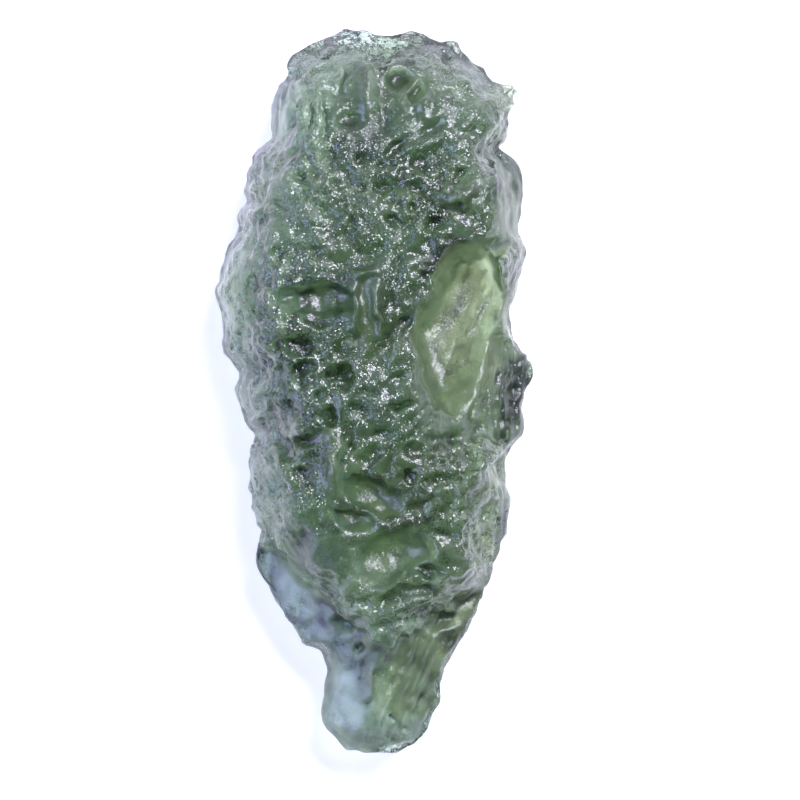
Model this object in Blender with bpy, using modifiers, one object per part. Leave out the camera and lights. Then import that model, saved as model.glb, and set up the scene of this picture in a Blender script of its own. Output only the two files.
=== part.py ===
"""Moldavite: one natural drop of green glass, deeply etched, lying on its back.

One solid, in metres, +Z up and +Y along the drop towards its broad end. The drop is first cut as
a slab with the stone's outline, then given its top and its underside as two height fields, and
then roughened all over. Lengths below are in millimetres, and the drop is scaled to metres at the
very end.
"""

import math

import bmesh
import bpy
import numpy as np
from mathutils import Vector, noise

MM = 0.001

# Driving dimensions of the drop.
LENGTH = 36.4
WIDTH = 16.0
THICKNESS = 8.4

# The rim is the thin blunt edge where top and underside meet. The flanks that rise from it vary in
# width by this share, over this length.
RIM_HEIGHT = 2.7
RIM_THICKNESS = 0.7
LEAST_THICKNESS = 0.9
BASE = RIM_HEIGHT + RIM_THICKNESS / 2
FLANK_WANDER = (0.5, 1.9)

# Meshing: the voxel of the working mesh, and what the finished solid may cost.
VOXEL = 0.2
MOST_TRIANGLES = 9400

# Half the height of the slab that the outline is cut from.
SLAB_HALF = 0.4

# The stone's outline seen from above, clockwise from the peak left of the broad end.
OUTLINE = (
    (-1.4, 18.2), (-0.9, 18.0), (-0.4, 18.1), (0.2, 17.9), (0.8, 17.9), (1.4, 18.1), (1.8, 18.2),
    (2.4, 18.1), (2.9, 17.8), (3.5, 17.6), (4.1, 17.6), (4.3, 17.4), (4.4, 17.0), (4.7, 16.9),
    (5.1, 16.5), (5.5, 16.2), (5.9, 15.6), (6.5, 15.4), (7.0, 15.4), (7.4, 15.1), (7.1, 14.8),
    (7.3, 14.4), (6.9, 14.0), (6.8, 13.5), (6.8, 13.0), (6.5, 12.5), (6.2, 12.3),
    (6.6, 12.0), (7.1, 11.6), (7.4, 11.1), (7.5, 10.4), (7.5, 9.8), (7.4, 9.1), (7.3, 8.3),
    (7.3, 7.9), (7.5, 7.5), (7.6, 7.0), (7.5, 6.3), (7.3, 5.6), (7.1, 4.9), (6.9, 4.3), (6.8, 3.8),
    (6.9, 3.2), (7.0, 2.7), (7.2, 2.3), (7.5, 1.8), (7.9, 1.3), (8.0, 0.9), (7.8, 0.3),
    (7.6, -0.4), (7.4, -0.6), (7.4, -1.0), (7.5, -1.5), (7.6, -1.9), (7.5, -2.2), (7.2, -2.5),
    (6.9, -2.9), (6.8, -3.3), (6.6, -3.8), (6.6, -4.4), (6.6, -4.9), (6.8, -5.4), (6.7, -6.0),
    (6.6, -6.6), (6.6, -7.2), (6.4, -7.6), (6.3, -8.1), (6.0, -8.8), (5.9, -9.5), (5.5, -10.2),
    (5.2, -11.0), (4.9, -11.7), (4.6, -12.2), (4.2, -12.9), (3.8, -13.6), (3.6, -14.2),
    (3.4, -14.8), (3.4, -15.6), (3.2, -16.0), (3.0, -16.5), (2.8, -17.0), (2.5, -17.4),
    (2.0, -17.7), (1.6, -17.9), (1.1, -18.1), (0.4, -18.2), (-0.3, -18.2), (-0.8, -18.1),
    (-1.3, -18.1), (-1.8, -17.5), (-2.3, -17.0), (-2.5, -16.7), (-2.6, -16.1), (-2.5, -15.4),
    (-2.4, -14.8), (-2.3, -14.1), (-2.4, -13.8), (-2.7, -13.0), (-3.2, -12.9), (-3.6, -12.8),
    (-4.0, -12.0), (-4.4, -11.6), (-4.5, -11.1), (-4.8, -10.6), (-5.2, -9.8), (-5.6, -9.4),
    (-5.9, -8.7), (-5.9, -8.2), (-5.7, -7.5), (-5.6, -7.0), (-5.9, -6.8), (-6.0, -6.4),
    (-6.2, -5.8), (-6.0, -5.1), (-6.1, -4.4), (-6.2, -3.7), (-6.2, -3.3), (-5.9, -2.8),
    (-5.8, -2.6), (-5.9, -2.1), (-6.3, -1.9), (-6.5, -1.6), (-6.5, -1.2), (-6.7, -0.8),
    (-6.9, -0.3), (-6.9, 0.2), (-6.7, 0.6), (-6.7, 1.0), (-7.0, 1.4), (-7.4, 1.8), (-7.6, 2.4),
    (-7.5, 2.9), (-7.5, 3.4), (-7.7, 4.1), (-8.0, 4.7), (-8.0, 5.2), (-7.7, 5.6), (-7.6, 6.0),
    (-7.4, 6.5), (-7.3, 7.0), (-6.9, 7.6), (-6.7, 8.3), (-6.8, 8.7), (-6.6, 9.2), (-6.2, 9.5),
    (-6.5, 10.0), (-6.3, 10.5), (-6.3, 10.9), (-6.0, 11.4), (-6.0, 11.8), (-5.8, 12.1),
    (-5.1, 12.6), (-5.0, 12.8), (-5.1, 13.5), (-5.1, 14.3), (-4.9, 14.7), (-4.7, 15.4),
    (-4.4, 15.6), (-4.2, 15.9), (-4.3, 16.2), (-4.2, 16.5), (-3.9, 16.9), (-3.4, 17.2),
    (-2.8, 17.5), (-2.2, 17.7),
)

# Sections along the drop: y, height of the crown, width of the left flank, of the right flank.
SECTIONS = (
    (18.2, 3.9, 1.9, 1.8),
    (16.5, 5.3, 2.1, 1.9),
    (14.5, 6.4, 2.2, 2.0),
    (12.0, 7.3, 2.3, 2.0),
    (9.0, 8.0, 2.6, 2.1),
    (4.0, 8.5, 2.8, 2.2),
    (0.0, 8.6, 2.7, 2.3),
    (-4.0, 8.3, 2.7, 2.3),
    (-8.0, 7.6, 2.7, 2.3),
    (-11.0, 6.8, 2.6, 2.3),
    (-14.0, 5.6, 2.3, 2.1),
    (-18.2, 4.2, 1.9, 1.8),
)

# The great smooth scoop: x, y, half length, half width and turn of its edge, and how steep its
# wall is. Its floor is a trough: x, y and turn of its line, then its height there, how fast it
# curves up, and its rise along Y.
SCOOP = (4.4, 3.05, 4.2, 2.3, 80, 9.0)
SCOOP_TROUGH = (3.7, 3.0, 62)
SCOOP_FLOOR = (4.3, 0.16, -0.14)

# Planes that bound the top: x, y and height of a point on each, its rise along X and along Y,
# where along the drop it starts and ends at x = 0, and how those end lines rise along X.
FACETS = (
    (-0.4, -12.8, 5.2, 0.55, 0.16, -22.0, -12.4, -0.78),
    (0.5, -14.5, 5.0, -0.50, 0.20, -22.0, -13.9, 0.74),
    (6.6, 0.0, 4.3, -0.9, 0.0, -2.5, 2.3, 0.0),
    (2.3, -17.0, 3.4, -0.4, 0.8, -22.0, -16.4, 0.0),
)
FACET_END_SLOPE = 1.6
FACET_ROUNDING = 0.25

# Crisp hollows of the top: x, y, half length, half width, turn in degrees of the length from +X,
# depth, and how steep the wall is: 2 is a bowl, 5 a flat floor with a steep wall.
PITS = (
    # The thin clear strip along the broad end, and the holes behind it.
    (0.2, 17.05, 2.4, 0.65, 0, 0.7, 2.4),
    (1.3, 15.35, 0.7, 0.55, 10, 0.8, 2.4),
    (2.2, 14.65, 0.75, 0.3, 70, 0.6, 2.4),
    (-1.1, 13.35, 0.85, 0.55, 15, 0.6, 2.4),
    (3.65, 16.7, 0.45, 0.2, -70, 0.6, 2.4),
    # The clear flange on the right, and the notch above it.
    (7.0, 10.05, 2.3, 0.75, 88, 0.9, 3.0),
    (6.4, 11.15, 1.2, 0.33, -80, 1.5, 3.0),
    (6.95, 9.85, 0.95, 0.28, -80, 1.5, 3.0),
    (5.8, 11.55, 0.85, 0.3, 65, 0.7, 2.4),
    # The basin over the great smooth scoop, and the dense shoulder below it on the right.
    (5.6, 6.85, 1.7, 0.75, 12, 0.8, 2.6),
    (7.1, -0.45, 1.3, 0.6, 85, 0.35, 2.4),
    # The left half, with its nest of dark round pits.
    (-2.75, 4.4, 2.1, 1.0, -3, 1.2, 3.0),
    (-2.7, 3.5, 0.9, 0.3, -5, 0.7, 2.4),
    (-1.0, 2.55, 0.6, 0.45, 15, 0.45, 2.2),
    (-3.65, 2.25, 0.85, 0.65, 20, 0.75, 2.3),
    (-4.75, 2.2, 0.5, 0.4, 0, 0.45, 2.2),
    (-3.4, 0.75, 0.75, 0.6, 50, 0.6, 2.2),
    (-1.65, 0.55, 0.95, 0.75, 20, 0.9, 2.3),
    (-2.6, -0.35, 0.7, 0.45, 0, 0.5, 2.2),
    (-2.05, -1.35, 0.65, 0.4, 40, 0.75, 2.3),
    (-3.25, -2.5, 0.6, 0.4, -10, 0.7, 2.3),
    (-5.3, -1.8, 0.65, 0.35, -10, 0.6, 2.3),
    # The middle, below the scoop.
    (1.3, -0.65, 0.8, 0.3, 0, 0.8, 4.0),
    (6.1, -4.3, 1.0, 0.5, 75, 1.4, 3.0),
    # The overlapping bowls of the lower half.
    (0.05, -5.3, 1.8, 1.05, -30, 1.2, 3.2),
    (-1.0, -6.45, 1.3, 0.65, -32, 0.9, 2.6),
    (0.95, -8.25, 2.15, 1.35, 10, 1.5, 3.4),
    (2.75, -9.05, 1.0, 0.55, 10, 0.9, 2.6),
    (2.3, -10.05, 1.5, 0.5, 0, 0.6, 2.4),
    (2.7, -11.35, 1.7, 0.7, -4, 0.9, 2.6),
    (-1.85, -9.85, 1.3, 0.5, -67, 0.6, 2.4),
    (-3.55, -7.95, 1.35, 0.7, 76, 0.5, 2.4),
    (5.45, -7.2, 1.9, 0.95, 84, 1.7, 3.0),
    (-1.35, -11.6, 0.75, 0.5, -20, 0.45, 2.2),
    # The narrow end.
    (-0.65, -12.85, 0.4, 0.3, 30, 0.5, 2.2),
    (1.45, -16.65, 0.95, 0.15, -40, 0.7, 2.4),
)

# Small dimples between the pits: x, y, half length, half width, turn and depth.
DIMPLES = (
    (4.7, 16.55, 1.7, 0.4, -40, 0.45),
    (6.7, 14.65, 0.6, 0.55, 0, 0.45),
    (5.55, 15.05, 0.6, 0.4, 0, 0.35),
    (-1.7, 14.95, 1.35, 0.45, 88, 0.4),
    (-3.3, 15.0, 0.45, 0.4, 0, 0.35),
    (-2.5, 16.25, 0.7, 0.45, 20, 0.3),
    (-4.55, 14.05, 1.8, 0.45, 80, 0.4),
    (-3.75, 13.35, 1.7, 0.2, 87, 0.35),
    (-3.2, 13.25, 1.4, 0.2, 92, 0.3),
    (-2.5, 13.15, 1.2, 0.25, 86, 0.35),
    (2.8, 12.95, 0.9, 0.5, 35, 0.4),
    (4.2, 14.25, 0.7, 0.5, 0, 0.3),
    (0.8, 13.25, 0.6, 0.45, -30, 0.3),
    (4.8, 12.85, 0.65, 0.45, 30, 0.3),
    (0.6, 9.95, 0.75, 0.55, 0, 0.45),
    (-0.9, 9.75, 0.55, 0.4, 20, 0.35),
    (-2.05, 11.65, 0.65, 0.55, 0, 0.4),
    (-0.3, 11.55, 0.65, 0.45, 30, 0.3),
    (1.0, 12.05, 0.9, 0.3, 38, 0.35),
    (2.3, 11.15, 0.65, 0.45, -20, 0.35),
    (3.65, 11.9, 0.65, 0.4, -25, 0.35),
    (4.4, 10.75, 0.6, 0.35, 30, 0.3),
    (2.35, 9.85, 0.6, 0.5, 0, 0.35),
    (4.8, 8.8, 1.6, 0.3, -10, 0.3),
    (3.15, 8.05, 0.6, 0.4, 0, 0.4),
    (1.1, 8.15, 0.8, 0.45, -30, 0.35),
    (-1.1, 7.95, 0.7, 0.55, 40, 0.35),
    (-0.1, 6.85, 0.85, 0.45, 0, 0.35),
    (-2.2, 8.8, 0.7, 0.5, 0, 0.35),
    (-3.7, 7.95, 0.7, 0.45, 20, 0.35),
    (-4.55, 9.3, 0.65, 0.5, -40, 0.4),
    (-5.3, 10.65, 0.75, 0.45, 70, 0.35),
    (-5.6, 8.3, 0.8, 0.6, 45, 0.4),
    (1.3, 6.45, 0.65, 0.45, 40, 0.35),
    (-2.8, 6.8, 0.7, 0.4, 0, 0.3),
    (-4.55, 6.65, 0.7, 0.55, 30, 0.35),
    (-3.8, 10.3, 0.9, 0.4, 80, 0.35),
    (-4.4, 0.25, 1.2, 0.35, 80, 0.4),
    (0.7, 2.15, 0.85, 0.45, 50, 0.3),
    (1.5, 2.95, 1.0, 0.4, 80, 0.3),
    (1.1, 0.45, 0.75, 0.5, 40, 0.4),
    (-0.2, 0.0, 0.5, 0.45, 0, 0.35),
    (-0.6, -1.05, 0.65, 0.5, 0, 0.4),
    (-6.7, 2.35, 1.25, 0.65, 78, 0.5),
    (-5.6, 2.7, 0.65, 0.55, 0, 0.4),
    (-6.3, 4.75, 1.0, 0.55, 70, 0.4),
    (-5.6, 0.3, 0.8, 0.45, 60, 0.4),
    (3.3, -1.35, 1.1, 0.55, 15, 0.35),
    (3.9, -2.3, 0.55, 0.45, 0, 0.4),
    (2.3, -3.05, 0.9, 0.4, 15, 0.4),
    (0.45, -2.25, 0.7, 0.55, 0, 0.35),
    (-0.1, -3.3, 0.8, 0.45, 40, 0.4),
    (4.8, -3.55, 0.65, 0.55, 60, 0.35),
    (3.3, -4.45, 0.7, 0.5, 30, 0.4),
    (1.85, -4.35, 0.65, 0.45, 0, 0.3),
    (-1.1, -2.85, 0.6, 0.4, 60, 0.3),
    (4.05, -5.85, 0.8, 0.5, 0, 0.35),
    (2.3, -5.95, 0.75, 0.45, 10, 0.35),
    (-5.6, -4.55, 1.8, 0.25, -68, 0.4),
    (-5.05, -4.75, 2.0, 0.25, -66, 0.35),
    (-4.45, -4.95, 1.8, 0.25, -64, 0.35),
    (-4.2, -3.05, 1.4, 0.4, -58, 0.4),
    (-5.1, -7.7, 1.5, 0.3, -80, 0.4),
    (-5.6, -5.95, 0.7, 0.4, -70, 0.35),
    (-3.45, -4.2, 0.75, 0.45, -40, 0.35),
    (4.4, -10.45, 0.75, 0.5, 60, 0.4),
    (0.9, -10.25, 0.75, 0.45, 0, 0.35),
    (-0.9, -10.35, 1.0, 0.45, -25, 0.35),
    (4.0, -8.45, 0.7, 0.5, 0, 0.35),
    (3.8, -7.3, 0.65, 0.45, 0, 0.3),
    (-2.7, -9.45, 0.7, 0.4, -30, 0.3),
    (0.55, -11.7, 0.85, 0.5, 0, 0.35),
    (-0.6, -14.2, 0.9, 0.15, 80, 0.3),
    (-0.25, -15.75, 0.35, 0.2, 0, 0.35),
    (-0.4, -17.35, 0.55, 0.15, 85, 0.35),
)
DIMPLE_WALL = 2.3

# Smooth tongues, mounds and ridges that stand up from the crown, in the dimples' form.
MOUNDS = (
    (-0.95, 3.95, 1.7, 0.3, 88, 0.8),
    (0.3, 4.15, 1.7, 0.3, -86, 0.75),
    (-0.35, 5.75, 0.75, 0.4, 0, 0.6),
    (-0.3, 15.15, 1.4, 0.5, 90, 0.55),
    (2.6, 14.35, 1.1, 0.2, 72, 0.3),
    (4.35, 9.7, 1.1, 0.8, 15, 0.6),
    (-1.95, -3.45, 1.8, 0.55, 85, 0.7),
    (-0.1, -12.45, 0.6, 0.45, 0, 0.3),
    (5.2, 3.95, 2.1, 0.3, 68, 0.35),
    (5.9, -0.65, 1.4, 0.15, 84, 0.4),
    (5.25, -0.85, 1.2, 0.15, 82, 0.35),
    (5.5, -2.75, 0.8, 0.2, 80, 0.4),
    (5.8, -3.6, 1.0, 0.2, 42, 0.4),
    (-3.6, 13.95, 0.5, 0.3, 60, 0.35),
    (-2.85, 14.0, 0.5, 0.25, 80, 0.35),
    (-2.9, 12.9, 0.6, 0.25, 80, 0.35),
    (-4.0, 12.2, 0.5, 0.3, 80, 0.35),
    (5.2, 7.85, 1.3, 0.25, -14, 0.3),
    (1.1, -9.65, 2.1, 0.2, 12, 0.5),
    (-5.3, -3.95, 0.7, 0.25, -60, 0.35),
    (-5.8, -5.45, 0.6, 0.25, -70, 0.4),
    (-4.65, -5.8, 0.7, 0.25, -62, 0.3),
    (-5.5, -7.05, 0.6, 0.3, -75, 0.4),
    (-4.9, -8.25, 0.6, 0.25, -80, 0.3),
    (-6.4, 3.65, 0.7, 0.3, 70, 0.4),
    (-6.1, 1.25, 0.6, 0.3, 65, 0.4),
    (-5.4, -0.7, 0.6, 0.25, 75, 0.35),
    (-5.2, 7.05, 0.7, 0.3, 50, 0.35),
    (-5.9, 9.55, 0.6, 0.25, 60, 0.3),
)

# The underside: its height over the ground away from the worn flats, and the width of its flanks.
BELLY_HEIGHT = 0.5
BELLY_FLANK = 4.6

# Soft hollows of the underside: x, y, half length, half width, turn and depth.
UNDER_HOLLOWS = (
    (-1.8, 12.6, 2.4, 1.5, 70, 1.1),
    (2.9, 9.6, 2.2, 1.4, 110, 0.9),
    (-3.9, 5.2, 2.6, 1.4, 80, 1.1),
    (4.4, 3.0, 3.4, 1.6, 74, 1.2),
    (-3.4, -1.4, 2.2, 1.5, 100, 1.0),
    (3.3, -4.3, 2.2, 1.3, 80, 0.7),
    (-2.3, -7.4, 2.3, 1.3, 75, 0.9),
    (1.8, -10.2, 2.2, 1.2, 105, 0.8),
    (-0.2, -14.4, 1.9, 1.0, 90, 0.6),
    (0.4, 16.0, 1.6, 0.9, 10, 0.6),
)

# Worn flats that the stone lies on, x, y and radius, and how much is worn off them.
RESTS = ((1.5, 8.6, 1.3), (-1.8, 2.2, 1.6), (1.1, -6.6, 1.3))
WORN = 0.12
FLAT_WITHIN = 0.04

# Stretches that the etching left smooth: x, y, half length, half width, turn and how smooth. Below
# them stands the share of the roughness that is left on a fully smooth one.
SMOOTH_PATCHES = (
    (6.9, 9.95, 2.3, 1.0, 88, 0.8),
    (-0.35, 4.3, 2.0, 0.95, 90, 0.85),
    (-2.75, 4.55, 1.9, 0.9, -3, 0.6),
    (4.35, 9.7, 1.2, 0.9, 15, 0.5),
    (-0.3, 15.05, 1.4, 0.65, 90, 0.7),
    (-1.7, 14.95, 1.2, 0.5, 90, 0.6),
    (0.05, -5.3, 1.7, 0.95, -30, 0.8),
    (-1.0, -6.45, 1.2, 0.6, -32, 0.7),
    (0.95, -8.25, 2.0, 1.25, 10, 0.8),
    (-3.55, -7.95, 1.4, 0.8, 76, 0.8),
    (-1.95, -3.45, 1.7, 0.5, 85, 0.5),
    (7.1, -0.25, 2.4, 1.0, 86, 0.5),
    (1.05, 13.95, 3.75, 1.8, 0, 0.5),
    (0.3, -7.7, 3.1, 2.5, 0, 0.35),
    (5.3, 7.05, 1.7, 0.7, 12, 0.6),
    (-4.45, 14.15, 1.7, 0.6, 82, 0.5),
    (-1.1, -15.85, 3.1, 2.3, 90, 0.85),
)
SMOOTH_SHARE = 0.25

# How smooth each facet and, last, the scoop stayed, over what height a facet's edge fades, and
# over what length its end does.
FACE_SMOOTH = (1.0, 0.95, 0.5, 0.6, 0.95)
FACE_EDGE = 0.12
FACE_END = 0.3

# Small hollows strewn over the whole top: how many, the range of their half lengths, their least
# and most width for that length, their depth for their half width, and the wall.
STREWN = 340
STREWN_SIZES = (0.36, 1.3)
STREWN_WIDTHS = (0.6, 0.95)
STREWN_DEPTH = 0.30
STREWN_WALL = 2.6
STREWN_SEED = 11

# The hollows come in crowds: how far apart, and how much shallower they are between the crowds.
CROWDS = (2.6, 0.7)

# How far, and over what length, the edges of the hollows wander, and how much the crests between
# the hollows are rounded.
WANDER = ((0.30, 1.9), (0.22, 0.6))
CREST_ROUNDING = 0.11

# The top's hollows are deeper towards the broad end, which lay uppermost in the ground.
LEAN = 0.45

# Far apart parts of the one noise.
FAR_PARTS = (Vector((0.0, 0.0, 0.0)), Vector((31.4, 0.0, 0.0)), Vector((0.0, 57.7, 0.0)))

# Roughness of the whole surface, and broad swells of it: the width of the lumps and how high they
# stand. Thin stretches get less of both, down to this share.
ROUGHNESS = (0.75, 0.14)
SWELL = (2.6, 0.30)
FULL_ETCH_THICKNESS = 3.5
THIN_SHARE = 0.6

# The bottle-green glass: its linear colour, roughness, index of refraction and share that is clear.
GLASS_COLOUR = (0.13, 0.20, 0.14)
GLASS_ROUGHNESS = 0.25
GLASS_IOR = 1.49
GLASS_CLEARNESS = 0.9


def smooth_step(t):
    t = np.clip(t, 0.0, 1.0)
    return t * t * (3.0 - 2.0 * t)


def noise_at(points, size, part=0):
    """Smooth noise over lumps of this size, from one of its far apart parts."""
    shift = FAR_PARTS[part]
    return np.array([noise.noise(Vector(point) / size + shift) for point in points])


def wandered(x, y):
    """The same points moved a little, so that no hollow is a plain oval."""
    for far, length in WANDER:
        flat = np.stack((x, y, np.full_like(x, length)), axis=1)
        x, y = x + far * noise_at(flat, length, 0), y + far * noise_at(flat, length, 1)
    return x, y


def rim_distance(x, y):
    """How far each point is from the outline."""
    nearest = np.full(x.shape, np.inf)
    for (ax, ay), (bx, by) in zip(OUTLINE, OUTLINE[1:] + OUTLINE[:1]):
        dx, dy = bx - ax, by - ay
        along = np.clip(((x - ax) * dx + (y - ay) * dy) / (dx * dx + dy * dy), 0.0, 1.0)
        nearest = np.minimum(nearest, np.hypot(x - ax - along * dx, y - ay - along * dy))
    return nearest


def across(x, y, form):
    """How far out each point is in a form's oval: 0 in its middle and 1 at its edge."""
    cx, cy, half_length, half_width, turn = form[:5]
    c, s = math.cos(math.radians(turn)), math.sin(math.radians(turn))
    u = ((x - cx) * c + (y - cy) * s) / half_length
    v = ((y - cy) * c - (x - cx) * s) / half_width
    return np.hypot(u, v)


def deeper(a, b, rounding):
    """The greater of two depths, with the crest between them rounded."""
    mix = np.clip(0.5 + 0.5 * (a - b) / rounding, 0.0, 1.0)
    return b + (a - b) * mix + rounding * mix * (1.0 - mix)


def pitted(x, y, hollows, lean):
    """The depth of the deepest of these hollows at each point, so neighbours meet in a crest."""
    depth = np.zeros_like(x)
    for hollow in hollows:
        cy, half_length, half_width = hollow[1:4]
        most, wall = hollow[5:]
        uphill = np.clip((y - cy) / math.sqrt(half_length * half_width), -1.0, 1.0)
        bowl = most * (1.0 + lean * uphill) * (1.0 - across(x, y, hollow) ** wall)
        depth = deeper(depth, bowl, CREST_ROUNDING)
    return depth


def strewn():
    """The small hollows, each as one row of PITS."""
    dice = np.random.default_rng(STREWN_SEED)
    low, high = np.array(OUTLINE).min(axis=0), np.array(OUTLINE).max(axis=0)
    places = low + dice.random((STREWN, 2)) * (high - low)
    lengths = STREWN_SIZES[0] * (STREWN_SIZES[1] / STREWN_SIZES[0]) ** dice.random(STREWN)
    widths = lengths * (STREWN_WIDTHS[0] + (STREWN_WIDTHS[1] - STREWN_WIDTHS[0]) * dice.random(STREWN))
    turns = 180.0 * dice.random(STREWN)
    depths = STREWN_DEPTH * widths * (0.6 + 0.8 * dice.random(STREWN))
    walls = np.full(STREWN, STREWN_WALL)
    return np.column_stack((places, lengths, widths, turns, depths, walls))


def swollen(x, y, forms):
    """The sum of these soft forms."""
    return sum(form[5] * np.exp(-1.8 * across(x, y, form) ** 2) for form in forms)


def inside(x, y, patches):
    """1 in the middle of a patch, or the share it names, falling to 0 at its edge."""
    share = np.zeros_like(x)
    for patch in patches:
        most = patch[5] if len(patch) > 5 else 1.0
        share = np.maximum(share, most * smooth_step((1.15 - across(x, y, patch)) / 0.3))
    return share


def resting(x, y):
    """1 on the worn flats, falling to 0 around them."""
    share = np.zeros_like(x)
    for cx, cy, radius in RESTS:
        share = np.maximum(share, smooth_step((1.7 - np.hypot(x - cx, y - cy) / radius) / 0.7))
    return share


def underside(x, y, from_rim):
    belly = 1.0 - (1.0 - np.clip(from_rim / BELLY_FLANK, 0.0, 1.0)) ** 2.2
    rim = RIM_HEIGHT - RIM_THICKNESS / 2
    return rim - (rim - BELLY_HEIGHT) * belly + swollen(x, y, UNDER_HOLLOWS)


def domed(x, y, from_rim):
    """The top before it was broken and etched, and how far up its dome each point is."""
    sections = np.array(SECTIONS)[::-1].T
    crown, left, right = (np.interp(y, sections[0], row) for row in sections[1:])
    flank = left + (right - left) * smooth_step(0.5 + x / 4.0)
    flank *= 1.0 + FLANK_WANDER[0] * noise_at(np.stack((x, y, 0 * x), axis=1), FLANK_WANDER[1], 2)
    dome = 1.0 - (1.0 - np.clip(from_rim / flank, 0.0, 1.0)) ** 2.0
    return BASE + (crown - BASE) * dome, dome


def past_end(x, y, facet):
    """How far each point is past either end of a facet."""
    start, end, skew = facet[5:]
    up = y - skew * x
    return np.maximum(up - end, 0.0) + np.maximum(start - up, 0.0)


def plane_at(x, y, facet):
    """The height of a facet's plane, which turns up steeply past the facet's ends."""
    px, py, pz, rise_x, rise_y = facet[:5]
    plane = pz + rise_x * (x - px) + rise_y * (y - py) + FACET_END_SLOPE * past_end(x, y, facet)
    return np.maximum(plane, BASE)


def faces(x, y, from_rim):
    """How much each point is on each facet and, last, in the scoop."""
    z = domed(x, y, from_rim)[0]
    shares = []
    for facet in FACETS:
        under = smooth_step((z - plane_at(x, y, facet)) / FACE_EDGE)
        shares.append(under * smooth_step(1.0 - past_end(x, y, facet) / FACE_END))
    return [*shares, smooth_step((1.02 - across(x, y, SCOOP)) / 0.06)]


def smooth_share(x, y, from_rim):
    """1 where the surface stayed smooth: in the smooth patches, on the facets and in the scoop."""
    share = inside(x, y, SMOOTH_PATCHES)
    for face, smooth in zip(faces(x, y, from_rim), FACE_SMOOTH):
        share = np.maximum(share, smooth * face)
    return share


def top(x, y, from_rim):
    z, dome = domed(x, y, from_rim)
    for facet in FACETS:
        z = -deeper(-z, -plane_at(x, y, facet), FACET_ROUNDING)
    turn = math.radians(SCOOP_TROUGH[2])
    aside = (x - SCOOP_TROUGH[0]) * math.sin(turn) - (y - SCOOP_TROUGH[1]) * math.cos(turn)
    floor = SCOOP_FLOOR[0] + SCOOP_FLOOR[1] * aside**2 + SCOOP_FLOOR[2] * (y - SCOOP_TROUGH[1])
    out = np.minimum(across(x, y, SCOOP), 1.0)
    z = z - np.maximum(z - floor, 0.0) * (1.0 - out**SCOOP[5])
    z = z + swollen(x, y, MOUNDS) * dome
    small = pitted(x, y, [(*form, DIMPLE_WALL) for form in DIMPLES], LEAN)
    crowds = noise_at(np.stack((x, y, 0 * x), axis=1), CROWDS[0], 0)
    rough = (1.0 - smooth_share(x, y, from_rim)) * (1.0 - CROWDS[1] * smooth_step(0.5 - 1.6 * crowds))
    small = deeper(small, pitted(x, y, strewn(), LEAN) * rough, CREST_ROUNDING)
    return z - deeper(small, pitted(x, y, PITS, LEAN), CREST_ROUNDING) * np.clip(dome * 1.6, 0.2, 1.0)


def with_modifier(stone, kind, **settings):
    """Adds a modifier, and makes its result the stone's mesh."""
    modifier = stone.modifiers.new(kind.title(), kind)
    for name, value in settings.items():
        setattr(modifier, name, value)
    graph = bpy.context.evaluated_depsgraph_get()
    result = bpy.data.meshes.new_from_object(stone.evaluated_get(graph))
    stone.modifiers.clear()
    old, stone.data = stone.data, result
    bpy.data.meshes.remove(old)


def points_of(stone):
    points = np.empty(len(stone.data.vertices) * 3)
    stone.data.vertices.foreach_get("co", points)
    return points.reshape(-1, 3)


def normals_of(stone):
    normals = np.empty(len(stone.data.vertices) * 3)
    stone.data.vertices.foreach_get("normal", normals)
    return normals.reshape(-1, 3)


def place(stone, points):
    stone.data.vertices.foreach_set("co", points.ravel())
    stone.data.update()


def cut_slab(collection):
    """The outline as a slab, meshed evenly."""
    curve = bpy.data.curves.new("outline", "CURVE")
    curve.dimensions = "2D"
    curve.fill_mode = "BOTH"
    curve.extrude = SLAB_HALF
    spline = curve.splines.new("POLY")
    spline.points.add(len(OUTLINE) - 1)
    spline.use_cyclic_u = True
    for point, (x, y) in zip(spline.points, OUTLINE):
        point.co = (x, y, 0.0, 1.0)
    guide = bpy.data.objects.new("outline", curve)
    collection.objects.link(guide)
    graph = bpy.context.evaluated_depsgraph_get()
    mesh = bpy.data.meshes.new_from_object(guide.evaluated_get(graph))
    bpy.data.objects.remove(guide)
    slab = bmesh.new()
    slab.from_mesh(mesh)
    bmesh.ops.remove_doubles(slab, verts=slab.verts, dist=1e-4)
    slab.to_mesh(mesh)
    slab.free()
    mesh.name = "moldavite"
    stone = bpy.data.objects.new("moldavite", mesh)
    collection.objects.link(stone)
    with_modifier(stone, "REMESH", mode="VOXEL", voxel_size=VOXEL)
    return stone


def heights(x, y):
    """The underside and the top over each point."""
    from_rim = rim_distance(x, y)
    near_x, near_y = wandered(x, y)
    low = underside(near_x, near_y, from_rim) * (1.0 - resting(x, y))
    return low, np.maximum(top(near_x, near_y, from_rim), low + LEAST_THICKNESS)


def shape(stone):
    """Moves the slab's two faces to the top and the underside, and its edge in between."""
    points = points_of(stone)
    x, y, z = points.T
    low, high = heights(x, y)
    points[:, 2] = low + (high - low) * (0.5 + 0.5 * np.clip(z / SLAB_HALF, -1.0, 1.0))
    place(stone, points)
    with_modifier(stone, "REMESH", mode="VOXEL", voxel_size=VOXEL)


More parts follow.
